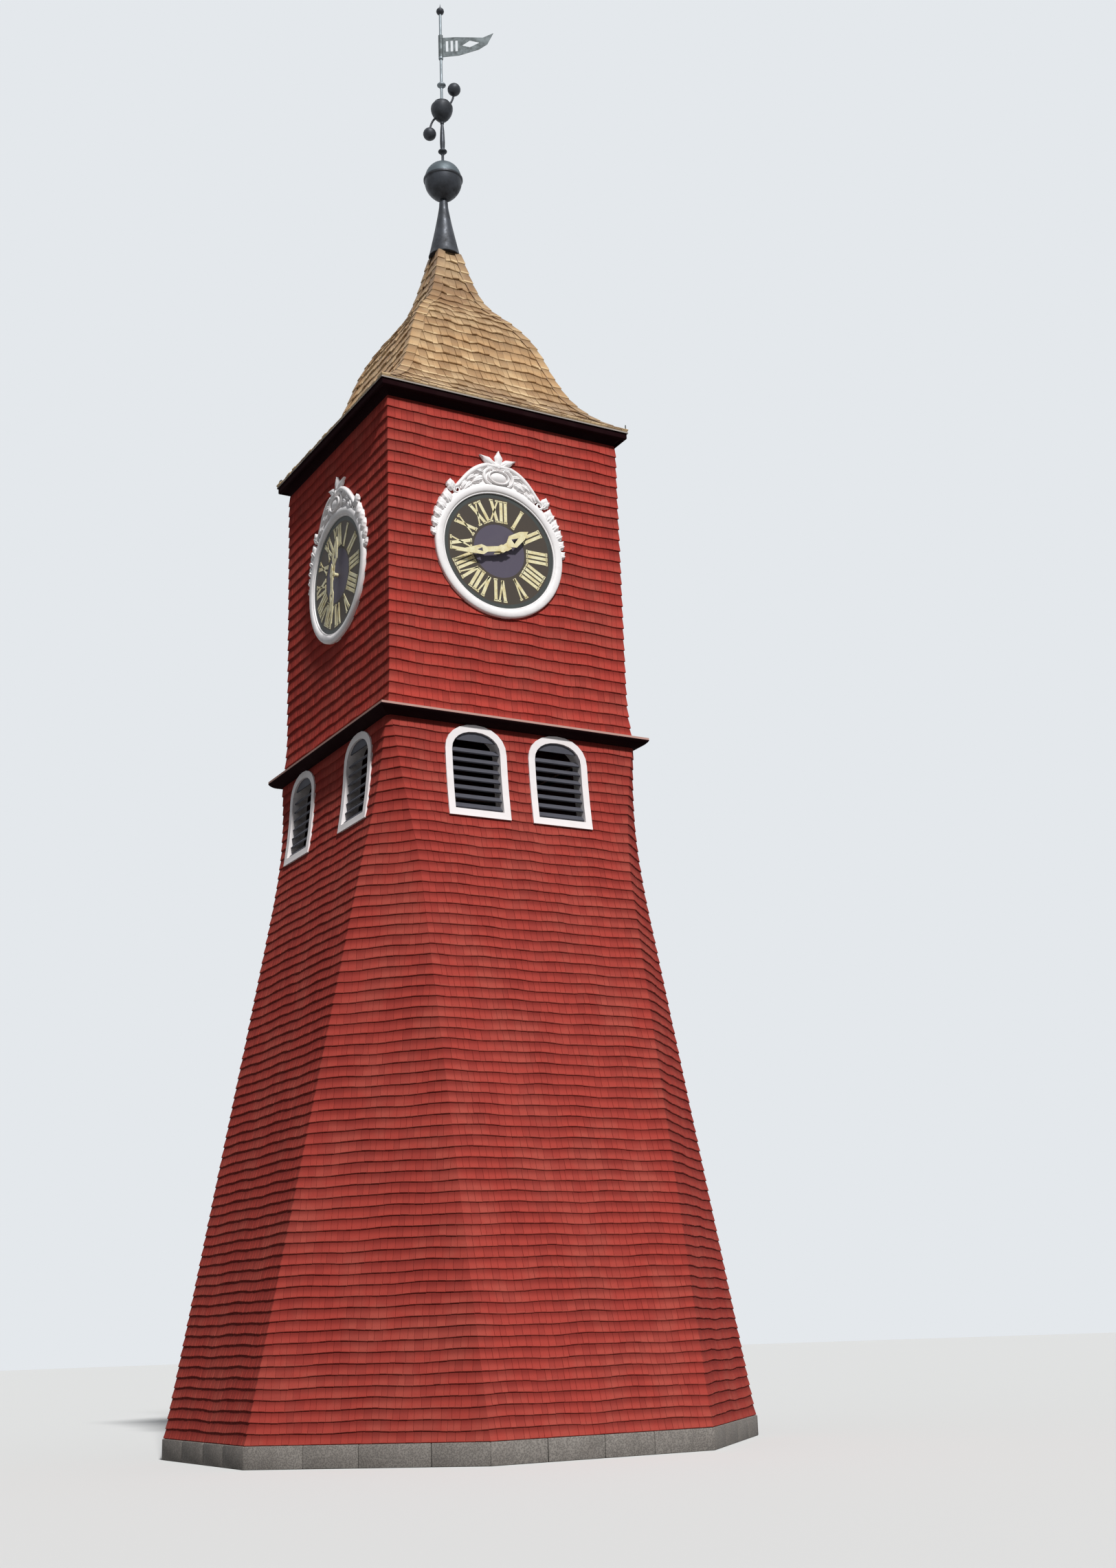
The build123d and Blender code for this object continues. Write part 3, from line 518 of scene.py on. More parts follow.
def shingle_mesh(face, laid, template):
    """All the laid shingles of a face as one mesh, with their lay kept as an attribute."""
    points, faces = template
    rows = np.array(laid)
    (butt_l, butt_r, head_l, head_r, low_l, low_r, high_l, high_r, mitre_l, mitre_r,
     thick, thin, base, tone, start, step) = [rows[:, [column]] for column in range(rows.shape[1])]
    across, up, out = [points[None, :, column] for column in range(3)]
    butt = butt_l + (butt_r - butt_l) * across
    head = head_l + (head_r - head_l) * across
    run = butt + (head - butt) * up
    left = low_l + (high_l - low_l) * up
    right = low_r + (high_r - low_r) * up
    proud = base + out * (thick + (thin - thick) * up)
    normal_out = np.interp(run, face.run, face.normal_out)
    normal_up = np.interp(run, face.run, face.normal_up)
    mitre = mitre_r * across - mitre_l * (1 - across)
    along = left + (right - left) * across + mitre * proud * normal_out
    away = np.interp(run, face.run, face.distances) + proud * normal_out
    level = np.interp(run, face.run, face.levels) + proud * normal_up
    cos, sin = math.cos(face.angle), math.sin(face.angle)
    corners = np.stack([away * cos - along * sin, away * sin + along * cos, level], axis=-1)
    polygons = [[number * len(points) + corner for corner in polygon]
                for number in range(len(laid)) for polygon in faces]
    mesh = bpy.data.meshes.new("shingles")
    mesh.from_pydata(corners.reshape(-1, 3).tolist(), [], polygons)
    lay = np.stack([tone + 0 * run, across + 0 * run, (run - start) / step], axis=-1)
    attribute = mesh.attributes.new("lay", "FLOAT_VECTOR", "POINT")
    attribute.data.foreach_set("vector", lay.astype(np.float32).ravel())
    return mesh


def lay_face(face, low, high, settings, exposures, rng, openings=()):
    """Every course of a face, from its foot to its head, where the exposure may differ."""
    foot, head = exposures
    count = round(2 * (high - low) / (foot + head))
    steps = np.linspace(foot, head, count)
    lines = low + np.concatenate([[0.0], np.cumsum(steps)]) * (high - low) / steps.sum()
    laid = []
    for row, (start, line) in enumerate(zip(lines[:-1], lines[1:])):
        end = min(line + settings.lap, high)
        laid += lay_course(face, row, start, line - start, end, settings, rng, openings)
    return laid


def dial_place(side):
    """A dial's own axes: right along the wall, up it and out of it, from the dial's centre."""
    joints = frame["record"]["behaviour"]["joints"]
    joint = next(joint for joint in joints if joint["name"] == f"minute_{side}_turn")
    out = Vector(joint["axis"]).normalized()
    up = Vector((0, 0, 1))
    turn = Matrix((up.cross(out), up, out)).transposed()
    return Matrix.Translation(joint["pos_m"]) @ turn.to_4x4()


def edges_of(verts):
    """The edges that meet at some vertices."""
    return {edge for vertex in verts for edge in vertex.link_edges}


def soften(bm, edges, offset, segments):
    """Rounds edges over, and returns the vertices of the rounding."""
    done = bmesh.ops.bevel(bm, geom=list(edges), offset=offset, affect="EDGES", segments=segments,
                           profile=0.5, material=-1)
    return {vertex for face in done["faces"] for vertex in face.verts}


def grow(bm, edges):
    """Extrudes a rim, and returns the new vertices and the new rim."""
    grown = bmesh.ops.extrude_edge_only(bm, edges=edges)["geom"]
    fresh = [item for item in grown if isinstance(item, bmesh.types.BMVert)]
    rim = [item for item in grown if isinstance(item, bmesh.types.BMEdge)
           and all(vertex in fresh for vertex in item.verts)]
    return fresh, rim


def arc(middle, reach, start, end, count):
    """Points along an arc, from one angle to another in degrees, for an outline or a path."""
    return [(middle[0] + reach[0] * math.cos(angle), middle[1] + reach[1] * math.sin(angle))
            for angle in np.radians(np.linspace(start, end, count))]


def lathe(bm, outline, place=Matrix.Identity(4), steps=48):
    """A round piece: an outline of (radius, height) spun once about its upright axis."""
    before = set(bm.verts)
    verts = [bm.verts.new((radius, 0, level)) for radius, level in outline]
    edges = [bm.edges.new(pair) for pair in zip(verts[:-1], verts[1:])]
    bmesh.ops.spin(bm, geom=verts + edges, cent=(0, 0, 0), axis=(0, 0, 1), dvec=(0, 0, 0),
                   angle=2 * math.pi, steps=steps, use_merge=True, use_duplicate=False)
    made = [vertex for vertex in bm.verts if vertex not in before]
    bmesh.ops.transform(bm, matrix=place, verts=made)


def tube(bm, path, radii, place=Matrix.Identity(4), sides=8):
    """A carved roll or bent bar: a ring of points drawn along a path and closed at both ends."""
    ring = bmesh.ops.create_circle(bm, segments=sides, radius=1.0, cap_ends=True)["verts"]
    shape = [vertex.co.copy() for vertex in ring]
    edges = list(edges_of(ring))
    for number, (point, radius) in enumerate(zip(path, radii)):
        if number:
            ring, edges = grow(bm, edges)
        ahead = path[min(number + 1, len(path) - 1)] - path[max(number - 1, 0)]
        turn = ahead.to_track_quat("Z", "Y").to_matrix()
        for vertex, corner in zip(ring, shape):
            vertex.co = place @ (point + turn @ (corner * radius))
    bmesh.ops.contextual_create(bm, geom=edges)


def leaf(bm, place, long, wide, rise, bend=0.0, lobes=3):
    """A carved leaf that lies on the wall: crowned, with a midrib, lobed edges and a bent tip."""
    made = bmesh.ops.create_grid(bm, x_segments=6, y_segments=12, size=1.0)["verts"]
    for vertex in made:
        across, up = vertex.co.x, (vertex.co.y + 1) / 2
        half = wide / 2 * (math.sin(math.pi * min(1.0, 0.08 + 0.92 * up) ** 0.8) ** 0.8 + 0.02)
        half *= 1 + 0.16 * math.sin(2 * math.pi * lobes * up)
        crown = rise * (0.45 + 0.55 * math.sin(math.pi * (0.15 + 0.7 * up)))
        crown *= 1 - 0.55 * across * across
        rib = -0.22 * rise * math.exp(-((across / 0.2) ** 2)) * (1 - up)
        vertex.co = Vector((across * half + bend * up * up * long, up * long, crown + rib))
    skirt, foot = grow(bm, [edge for edge in edges_of(made) if edge.is_boundary])
    for vertex in skirt:
        vertex.co.z = 0.0
    bmesh.ops.contextual_create(bm, geom=foot)
    bmesh.ops.transform(bm, matrix=place, verts=made + skirt)


def flat_place(along, up, turn=0.0, out=0.0):
    """A place on the dial's wall, turned against the clock by an angle in degrees."""
    return Matrix.Translation((along, up, out)) @ Matrix.Rotation(math.radians(turn), 4, "Z")


def turned(name, outline, finish, node, smooth=35, steps=48):
    """A round metal piece about the tower's axis, in place of its CAD node."""
    bm = bmesh.new()
    lathe(bm, outline, steps=steps)
    make_piece(name, mesh_of(bm), finish, replaces=(node,), smooth=smooth)


def length(name, description, default):
    """A size that a user can change, in metres."""
    return bpy.props.FloatProperty(name=name, description=description, default=default, min=0.0,
                                   unit="LENGTH")


def share(name, description, default):
    """A share from 0 to 1 that a user can change."""
    return bpy.props.FloatProperty(name=name, description=description, default=default, min=0.0, max=1.0,
                                   subtype="FACTOR")


def tint(name, description, default):
    """A colour that a user can change, from its sRGB hex value."""
    return bpy.props.FloatVectorProperty(name=name, description=description, default=linear(default),
                                         size=4, min=0.0, max=1.0, subtype="COLOR")


class WallSettings(bpy.types.PropertyGroup):
    """The red wall shingles: their sizes, how loosely they lie, and their paint."""

    foot_exposure: length("Foot Exposure", "Height of a course that shows at the body's foot", 0.145)
    head_exposure: length("Head Exposure", "Height of a course that shows at the body's head", 0.172)
    stage_exposure: length("Stage Exposure", "Height of a course that shows on the clock stage", 0.2)
    width: length("Width", "Usual width of a shingle", 0.115)
    butt: length("Butt", "How far a butt stands off the wall", 0.026)
    lap: length("Lap", "How far a head runs under the next course", 0.03)
    joint: length("Joint", "Gap between two shingles", 0.0015)
    wave: length("Wave", "How far the course lines sway", 0.009)
    ragged: length("Ragged", "How far single butts leave their line", 0.002)
    uneven: share("Uneven Butts", "How much butts differ in thickness", 0.1)
    fresh: tint("Paint", "Red oxide paint where it is sound", "#a84239")
    stage: tint("Stage Paint", "The clock stage's paint, less bleached", "#bd483e")
    # Also the colour of the painted highlight along the butts
    worn: tint("Worn Paint", "The paint where it has weathered", "#ac5448")
    deep: tint("Deep Tone", "The darkest single shingles and the grain", "#8a3530")
    # Painted shade: the colour of the dark band below each course line and along the shingles' joints
    shadow: tint("Under the Butts", "Faces kept damp below a course line", "#5a1a18")


class RoofSettings(bpy.types.PropertyGroup):
    """The bare roof shingles: their sizes, how loosely they lie, and their wood."""

    exposure: length("Exposure", "Height of a course that shows", 0.225)
    width: length("Width", "Usual width of a shingle", 0.13)
    butt: length("Butt", "How far a butt stands off the roof", 0.034)
    lap: length("Lap", "How far a head runs under the next course", 0.03)
    joint: length("Joint", "Gap between two shingles", 0.002)
    wave: length("Wave", "How far the course lines sway", 0.02)
    ragged: length("Ragged", "How far single butts leave their line", 0.011)
    uneven: share("Uneven Butts", "How much butts differ in thickness", 0.3)
    hip: length("Hip Width", "Width of the shingles laid over a hip", 0.15)
    fresh: tint("Wood", "Sun-bleached golden wood on the middle of a slope", "#c29a6b")
    # Also the colour of the painted highlight along the butts
    worn: tint("Bleached Wood", "Patches bleached further", "#dcbf93")
    deep: tint("Deep Tone", "The darkest single shingles and the grain", "#8f6a42")
    # Painted shade: the colour of the dark band below each course line and along the shingles' joints
    shadow: tint("Under the Butts", "Faces kept damp below a course line", "#4d3826")
    foot: tint("Foot", "Wood gone grey on the flared foot", "#806d5b")
    neck: tint("Neck", "Browner wood on the steep neck", "#7c5b3e")


class TimberSettings(bpy.types.PropertyGroup):
    """Paint of the mouldings, the windows and the footing's blocks."""

    course: tint("String Course", "Dark underside of the string course", "#1c0d0f")
    lip: tint("Course Lip", "Pale upper edge of the string course", "#c09a90")
    eaves: tint("Eaves", "Near-black soffit and fascia", "#1e0d10")
    drip: tint("Drip Edge", "Pale edge above the fascia", "#a59c94")
    casing: tint("Window Casing", "White oil paint", "#efe8e7")
    louvre: tint("Louvres", "Dark grey slats", "#46464e")
    drip_height: length("Drip Height", "Height of the pale edge above the fascia", 0.025)
    lip_height: length("Lip Height", "Height of the pale edge of the string course", 0.035)
    spike: length("Corner Spike", "Height of the iron spikes on the eaves", 0.15)
    block_gap: length("Block Joint", "Joint between two footing stones", 0.006)


class DialSettings(bpy.types.PropertyGroup):
    """Sizes and colours of the painted and gilded parts of a dial."""

    numeral_inner: length("Numeral Foot", "Radius where the numerals start", 0.52)
    numeral_outer: length("Numeral Head", "Radius where the numerals end", 0.89)
    stroke: length("Stroke", "Width of a numeral's thick stroke", 0.058)
    serif: length("Serif", "Height of the bars that close a numeral", 0.032)
    band_inner: length("Band Foot", "Radius where the dark numeral band starts", 0.47)
    band_outer: length("Band Head", "Radius where the dark numeral band ends", 0.94)
    plate: tint("Plate", "Grey-violet paint in the middle of a dial", "#4d4655")
    band: tint("Numeral Band", "Brown-black paint under the numerals", "#3a3128")
    gold: tint("Gilding", "Weathered gold of numerals and hands", "#ebe3bc")


class CarvingSettings(bpy.types.PropertyGroup):
    """Sizes and colours of the carved surrounds."""

    crown: length("Crown", "Height of the crest's flat top above the dial's centre", 1.53)
    shoulder: length("Shoulder", "Height of the crest's shoulders above the dial's centre", 1.05)
    roll: length("Roll", "Radius of the roll along the crest's slopes", 0.045)
    relief: length("Relief", "How far leaves stand off the ground", 0.065)
    paint: tint("Paint", "White oil paint on the high places", "#f5f1f0")
    dust: tint("Dust", "Grey dirt in the hollows", "#b9b0ac")


class MetalSettings(bpy.types.PropertyGroup):
    """Colours of the metal spire and its vane."""

    dark: tint("Sheet Metal", "Weathered dark sheet", "#3b3e44")
    dull: tint("Dull Patches", "Blacker, duller patches", "#1f2023")
    pale: tint("Ball Cap", "The paler upper shell of the large ball", "#5c666b")
    rod: tint("Upper Rod", "Pale paint of the rod above the middle ball", "#8f989d")
    vane: tint("Vane", "Grey-green sheet of the weather vane", "#666e70")


class StudioSettings(bpy.types.PropertyGroup):
    """Camera and light of the stage."""

    lens: bpy.props.FloatProperty(name="Lens", description="Focal length for the photograph's view",
                                  default=42.92, min=10, unit="CAMERA")
    sun: bpy.props.FloatProperty(name="Key Light", description="Strength of the key light",
                                 default=3.8, min=0)
    softness: bpy.props.FloatProperty(name="Softness", default=math.radians(5), min=0, subtype="ANGLE",
                                      description="How wide the key light looks from the tower")
    sky: bpy.props.FloatProperty(name="Fill Light", description="Strength of the light from all round",
                                 default=0.15, min=0)
    floor: tint("Floor Colour", "Colour of the plain floor", "#dcdcda")
    bounce: tint("Floor Bounce", "Colour of the light that the floor throws back", "#6c6b69")


class TOWER_OT_footing(bpy.types.Operator):
    """Split granite blocks in place of the plain footing ring"""

    bl_idname = "tower.footing"
    bl_label = "Stone Footing"

    def execute(self, context):
        half_gap = context.scene.tower_timber.block_gap / 2
        low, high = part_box("stone_footing")
        outer, inner = high[0], high[0] - FOOTING_THICKNESS
        rng = random.Random(11)
        bm = bmesh.new()
        for number in range(8):
            turn = Matrix.Rotation(number * math.pi / 4, 4, "Z")
            joints = spread(rng, 4, 0.8, 1.25)
            for left, right in zip(joints[:-1], joints[1:]):
                made = bmesh.ops.create_cube(bm, size=1.0)["verts"]
                for vertex in made:
                    away = outer if vertex.co.x > 0 else inner
                    joint = right if vertex.co.y > 0 else left
                    # The octagon's corners are mitred without a joint
                    gap = half_gap if abs(joint) < 0.999 else 0.0
                    along = joint * OCTAGON_MITRE * away - math.copysign(gap, vertex.co.y)
                    vertex.co = Vector((away, along, high[2] if vertex.co.z > 0 else low[2]))
                block = soften(bm, edges_of(made), offset=BLOCK_ROUNDING, segments=2)
                bmesh.ops.transform(bm, matrix=turn, verts=list(block))
        make_piece("footing_blocks", mesh_of(bm), granite(), replaces=("stone_footing",),
                   smooth=30)
        return {"FINISHED"}


class TOWER_OT_wall_shingles(bpy.types.Operator):
    """Red shingles on the flared body, its corner faces and the clock stage"""

    bl_idname = "tower.wall_shingles"
    bl_label = "Wall Shingles"

    def execute(self, context):
        settings = context.scene.tower_walls
        _, footing_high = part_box("stone_footing")
        course_low, course_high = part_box("string_course")
        eaves_low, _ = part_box("eaves")
        finish = red_shingle(settings, course_high[2])
        behind = boarding("wall_boarding", "#5e2422", "#451a1a", board=0.15)
        rng = random.Random(21)

        def clad(name, node, face, low, high, openings=()):
            """Lays the shingles of one face, over boards on its node."""
            laid = lay_face(face, low, high, settings, exposures, rng, openings)
            make_piece(name, shingle_mesh(face, laid, template), finish)
            paint_node(node, behind)

        low, high = footing_high[2], course_low[2]
        levels, main = profile(["lower_wall_south"], SIDES["south"], low, high)
        walls = ["corner_wall_south_east", "lower_wall_south", "lower_wall_east"]
        _, corner = profile(walls, CORNERS["south_east"], low, high)
        low, high = low + FOOT_GAP, high - WALL_GAP
        # The distances of the octagon's main and corner faces give each other's half width
        exposures = (settings.foot_exposure, settings.head_exposure)
        template = shingle_template(settings, settings.foot_exposure)
        for side, angle in SIDES.items():
            face = Face(angle, levels, main, levels, math.sqrt(2) * corner - main, OCTAGON_MITRE)
            clad(f"body_shingles_{side}", f"lower_wall_{side}", face, low, high, self.windows(side))
        for name, angle in CORNERS.items():
            face = Face(angle, levels, corner, levels, math.sqrt(2) * main - corner, OCTAGON_MITRE)
            clad(f"corner_shingles_{name}", f"corner_wall_{name}", face, low, high)

        low, high = course_high[2], eaves_low[2]
        exposures = (settings.stage_exposure, settings.stage_exposure)
        template = shingle_template(settings, settings.stage_exposure)
        for side, angle in SIDES.items():
            levels, stage = profile([f"clock_wall_{side}"], angle, low, high)
            face = Face(angle, levels, stage, levels, stage, 1.0)
            clad(f"stage_shingles_{side}", f"clock_wall_{side}", face, low + WALL_GAP, high - WALL_GAP,
                 [self.dial(side, face)])
        return {"FINISHED"}

    def windows(self, side):
        """The two windows of a side, out to the middle of their casings."""
        frames_low, frames_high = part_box("window_frames")
        margin = CASING_WIDTH / 2
        spring = frames_high[2] - CASING_WIDTH - WINDOW_HEAD_RISE
        return [Opening(way * WINDOW_SPACING[side], WINDOW_HALF + margin, frames_low[2] + margin, spring,
                        WINDOW_HEAD_RISE + margin) for way in (-0.5, 0.5)]

    def dial(self, side, face):
        """The round hole behind a dial and its ring."""
        centre = dial_place(side).translation
        shift = centre.dot(Vector((-math.sin(face.angle), math.cos(face.angle), 0)))
        radius = (DIAL_RADIUS + RING_RADIUS) / 2
        return Opening(shift, radius, centre.z - radius, centre.z, radius, arched_foot=True)


class TOWER_OT_roof_shingles(bpy.types.Operator):
    """Bare shingles on the ogee roof, with a hip course laid over each corner"""

    bl_idname = "tower.roof_shingles"
    bl_label = "Roof Shingles"

    def execute(self, context):
        settings = context.scene.tower_roof
        exposures = (settings.exposure, settings.exposure)
        template = shingle_template(settings, settings.exposure)
        slope_low, slope_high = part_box("roof_slope_south")
        finish = roof_shingle(settings, slope_low[2], slope_high[2])
        behind = boarding("roof_boarding", "#6a5233", "#4b3820", board=0.15)
        rng = random.Random(31)
        for side, angle in SIDES.items():
            low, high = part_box(f"roof_slope_{side}")
            levels, distances = profile([f"roof_slope_{side}"], angle, low[2], high[2], 0.01)
            run = np.concatenate([[0.0], np.cumsum(np.hypot(np.diff(levels), np.diff(distances)))])
            face = Face(angle, levels, distances, run, distances, 1.0)
            laid = lay_face(face, ROOF_START, run[-1], settings, exposures, rng)
            laid += self.hip_courses(face, settings, rng)
            mesh = shingle_mesh(face, laid, template)
            make_piece(f"roof_shingles_{side}", mesh, finish)
            paint_node(f"roof_slope_{side}", behind)
        return {"FINISHED"}

    def hip_courses(self, face, settings, rng):
        """Thick shingles laid over the field along both hips of a slope."""
        laid = []
        high = face.run[-1]
        count = round((high - ROOF_START) / settings.exposure)
        step = (high - ROOF_START) / count
        for row in range(count):
            start = ROOF_START + row * step
            end = min(start + step + settings.lap, high)
            half_low, half_high = face.half(start), face.half(end)
            for way in (-1, 1):
                wide = min(settings.hip * rng.uniform(0.8, 1.2), 0.45 * half_low)
                butt = start + rng.uniform(-settings.ragged, settings.ragged)
                low_pair = sorted((way * half_low, way * (half_low - wide)))
                high_pair = sorted((way * half_high, way * max(0.0, half_high - wide)))
                laid.append((butt, butt, end, end, *low_pair, *high_pair,
                             1.0 if way < 0 else 0.0, 1.0 if way > 0 else 0.0,
                             0.85 * settings.butt, 2 * HEAD_THICKNESS, 0.6 * settings.butt, rng.random(),
                             start, step))
        return laid


class TOWER_OT_timber(bpy.types.Operator):
    """Paint of the string course, the eaves, the window frames, the louvres and the floor"""

    bl_idname = "tower.timber"
    bl_label = "Painted Timber"

    def execute(self, context):
        settings = context.scene.tower_timber
        _, course_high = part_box("string_course")
        _, eaves_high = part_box("eaves")
        lip, drip = course_high[2] - settings.lip_height, eaves_high[2] - settings.drip_height
        white = brushed_paint("white_paint", settings.casing, linear("#d9cfc8"), roughness=0.45,
                              streak=12, patch_size=0.35, most=0.35)
        grey = brushed_paint("louvre_paint", settings.louvre, linear("#303036"), roughness=0.75,
                             streak=0.1, patch_size=0.25, most=0.5)
        paint_node("string_course", board_paint("course_paint", settings.course, settings.lip, lip))
        paint_node("eaves", board_paint("eaves_paint", settings.eaves, settings.drip, drip))
        paint_node("window_frames", white)
        paint_node("belfry_floor", boarding("bare_timber", "#8a7250", "#5f4c33", board=0.12))
        for side in SIDES:
            paint_node(f"louvres_{side}", grey)
        self.spikes(settings.spike, eaves_high)
        return {"FINISHED"}

    def spikes(self, tall, corner):
        """A thin iron rod on the south-east corner of the eaves and a curl on the north-west one."""
        reach, level = corner[0] - 0.03, corner[2]
        bm = bmesh.new()
        rod = [(0.0, 0.0), (0.02, 0.0), (0.02, 0.008), (0.012, 0.014), (0.011, tall - 0.01), (0.0, tall)]
        lathe(bm, rod, Matrix.Translation((reach, -reach, level)), steps=12)
        # Points along and up, as shares of the spike's height
        curl = [(0, 0), (0, 0.6), (0.12, 0.85), (0.3, 0.95), (0.45, 0.85), (0.48, 0.65), (0.38, 0.55)]
        place = Matrix.Translation((-reach, reach, level)) @ Matrix.Rotation(math.radians(-45), 4, "Z")
        tube(bm, [tall * Vector((along, 0, up)) for along, up in curl], [0.011] * len(curl), place)
        finish = metal("spike_iron", linear("#5d5f5c"), linear("#3a3a38"), roughness=0.5, metallic=0.6,
                       patch_size=0.1)
        make_piece("corner_spikes", mesh_of(bm), finish, smooth=40)


class TOWER_OT_dials(bpy.types.Operator):
    """Dark dial paint, gilded numerals and hands"""

    bl_idname = "tower.dials"
    bl_label = "Dials and Hands"

    def execute(self, context):
        settings = context.scene.tower_dial
        gold = metal("gilding", settings.gold, linear("#cab77f"), roughness=0.5, metallic=0.1,
                     patch_size=0.12)
        plate = brushed_paint("dial_paint", settings.plate, linear("#5b5560"), roughness=0.6,
                              streak=3, patch_size=0.3, most=0.5)
        dark = brushed_paint("numeral_band_paint", settings.band, linear("#4b4034"), roughness=0.65,
                             streak=3, patch_size=0.25, most=0.6)
        rim = brushed_paint("dial_rim_paint", linear("#343836"), linear("#4a4d48"), roughness=0.6,
                            streak=3, patch_size=0.3, most=0.5)
        paint_node("dial_plates", plate)
        bands = (("chapter_band", settings.band_inner, settings.band_outer, dark),
                 ("dial_rim", settings.band_outer, DIAL_RADIUS - 0.002, rim))
        back, front = DIAL_FRONT, DIAL_FRONT + BAND_RISE
        for side in SIDES:
            for name, inner, outer, paint in bands:
                bm = bmesh.new()
                outline = [(inner, back), (outer, back), (outer, front), (inner, front), (inner, back)]
                lathe(bm, outline, dial_place(side), steps=96)
                make_piece(f"{name}_{side}", mesh_of(bm), paint)
            bm = bmesh.new()
            for number, numeral in enumerate(NUMERALS):
                turn = Matrix.Rotation(-number * math.pi / 6, 4, "Z")
                self.numeral(bm, numeral, settings, dial_place(side) @ turn)
            make_piece(f"numerals_{side}", mesh_of(bm, tidy=False), gold)
            paint_node(f"hour_hand_{side}", gold)
            paint_node(f"minute_hand_{side}", gold)
        return {"FINISHED"}

    def numeral(self, bm, numeral, settings, place):
        """A Roman numeral that stands on its radius, foot towards the dial's centre."""
        total = sum(LETTER_WIDTH[letter] for letter in numeral)
        squeeze = min(1.0, WIDEST_NUMERAL / total)
        cursor = -0.5 * total * squeeze
        foot, head = settings.numeral_inner, settings.numeral_outer
        thick = settings.stroke * squeeze
        thin = 0.5 * thick
        for letter in numeral:
            wide = LETTER_WIDTH[letter] * squeeze
            half = wide / 2 - 0.006
            # Where the middles of a thick and a thin stroke reach the letter's side
            stout, slim = half - thick / 2, half - thick / 3
            # Strokes: their place at the foot and at the head, and width. Bars: place, level and reach
            if letter == "I":
                strokes = [(0.0, 0.0, thick)]
                bars = [(0.0, foot, half), (0.0, head, half)]
            elif letter == "V":
                strokes = [(0.0, -stout, thick), (0.0, slim, thin)]
                bars = [(-stout, head, 0.6 * thick), (slim, head, thin)]
            else:
                strokes = [(stout, -stout, thick), (-slim, slim, thin)]
                bars = [(way * stout, level, 0.6 * thick) for way in (-1, 1) for level in (foot, head)]
            middle = cursor + wide / 2
            for low, high, stroke in strokes:
                self.stroke(bm, (middle + low, foot), (middle + high, head), stroke, place)
            for along, level, reach in bars:
                start, end = (middle + along - reach, level), (middle + along + reach, level)
                self.stroke(bm, start, end, settings.serif, place)
            cursor += wide

    def stroke(self, bm, start, end, wide, place):
        """A raised gilded bar with softened edges, from one point of the dial to another."""
        start, end = Vector((*start, 0)), Vector((*end, 0))
        run = end - start
        made = bmesh.ops.create_cube(bm, size=1.0)["verts"]
        upper = [edge for edge in edges_of(made) if all(vertex.co.z > 0 for vertex in edge.verts)]
        bmesh.ops.scale(bm, vec=(run.length, wide, NUMERAL_RISE), verts=made)
        rounded = soften(bm, upper, offset=0.003, segments=1)
        bar = rounded | {vertex for vertex in made if vertex.is_valid}
        middle = (start + end) / 2
        # The bar's back sinks 1 mm into the band
        middle.z = DIAL_FRONT + BAND_RISE + NUMERAL_RISE / 2 - 0.001
        turn = Matrix.Rotation(math.atan2(run.y, run.x), 4, "Z")
        bmesh.ops.transform(bm, matrix=place @ Matrix.Translation(middle) @ turn, verts=list(bar))


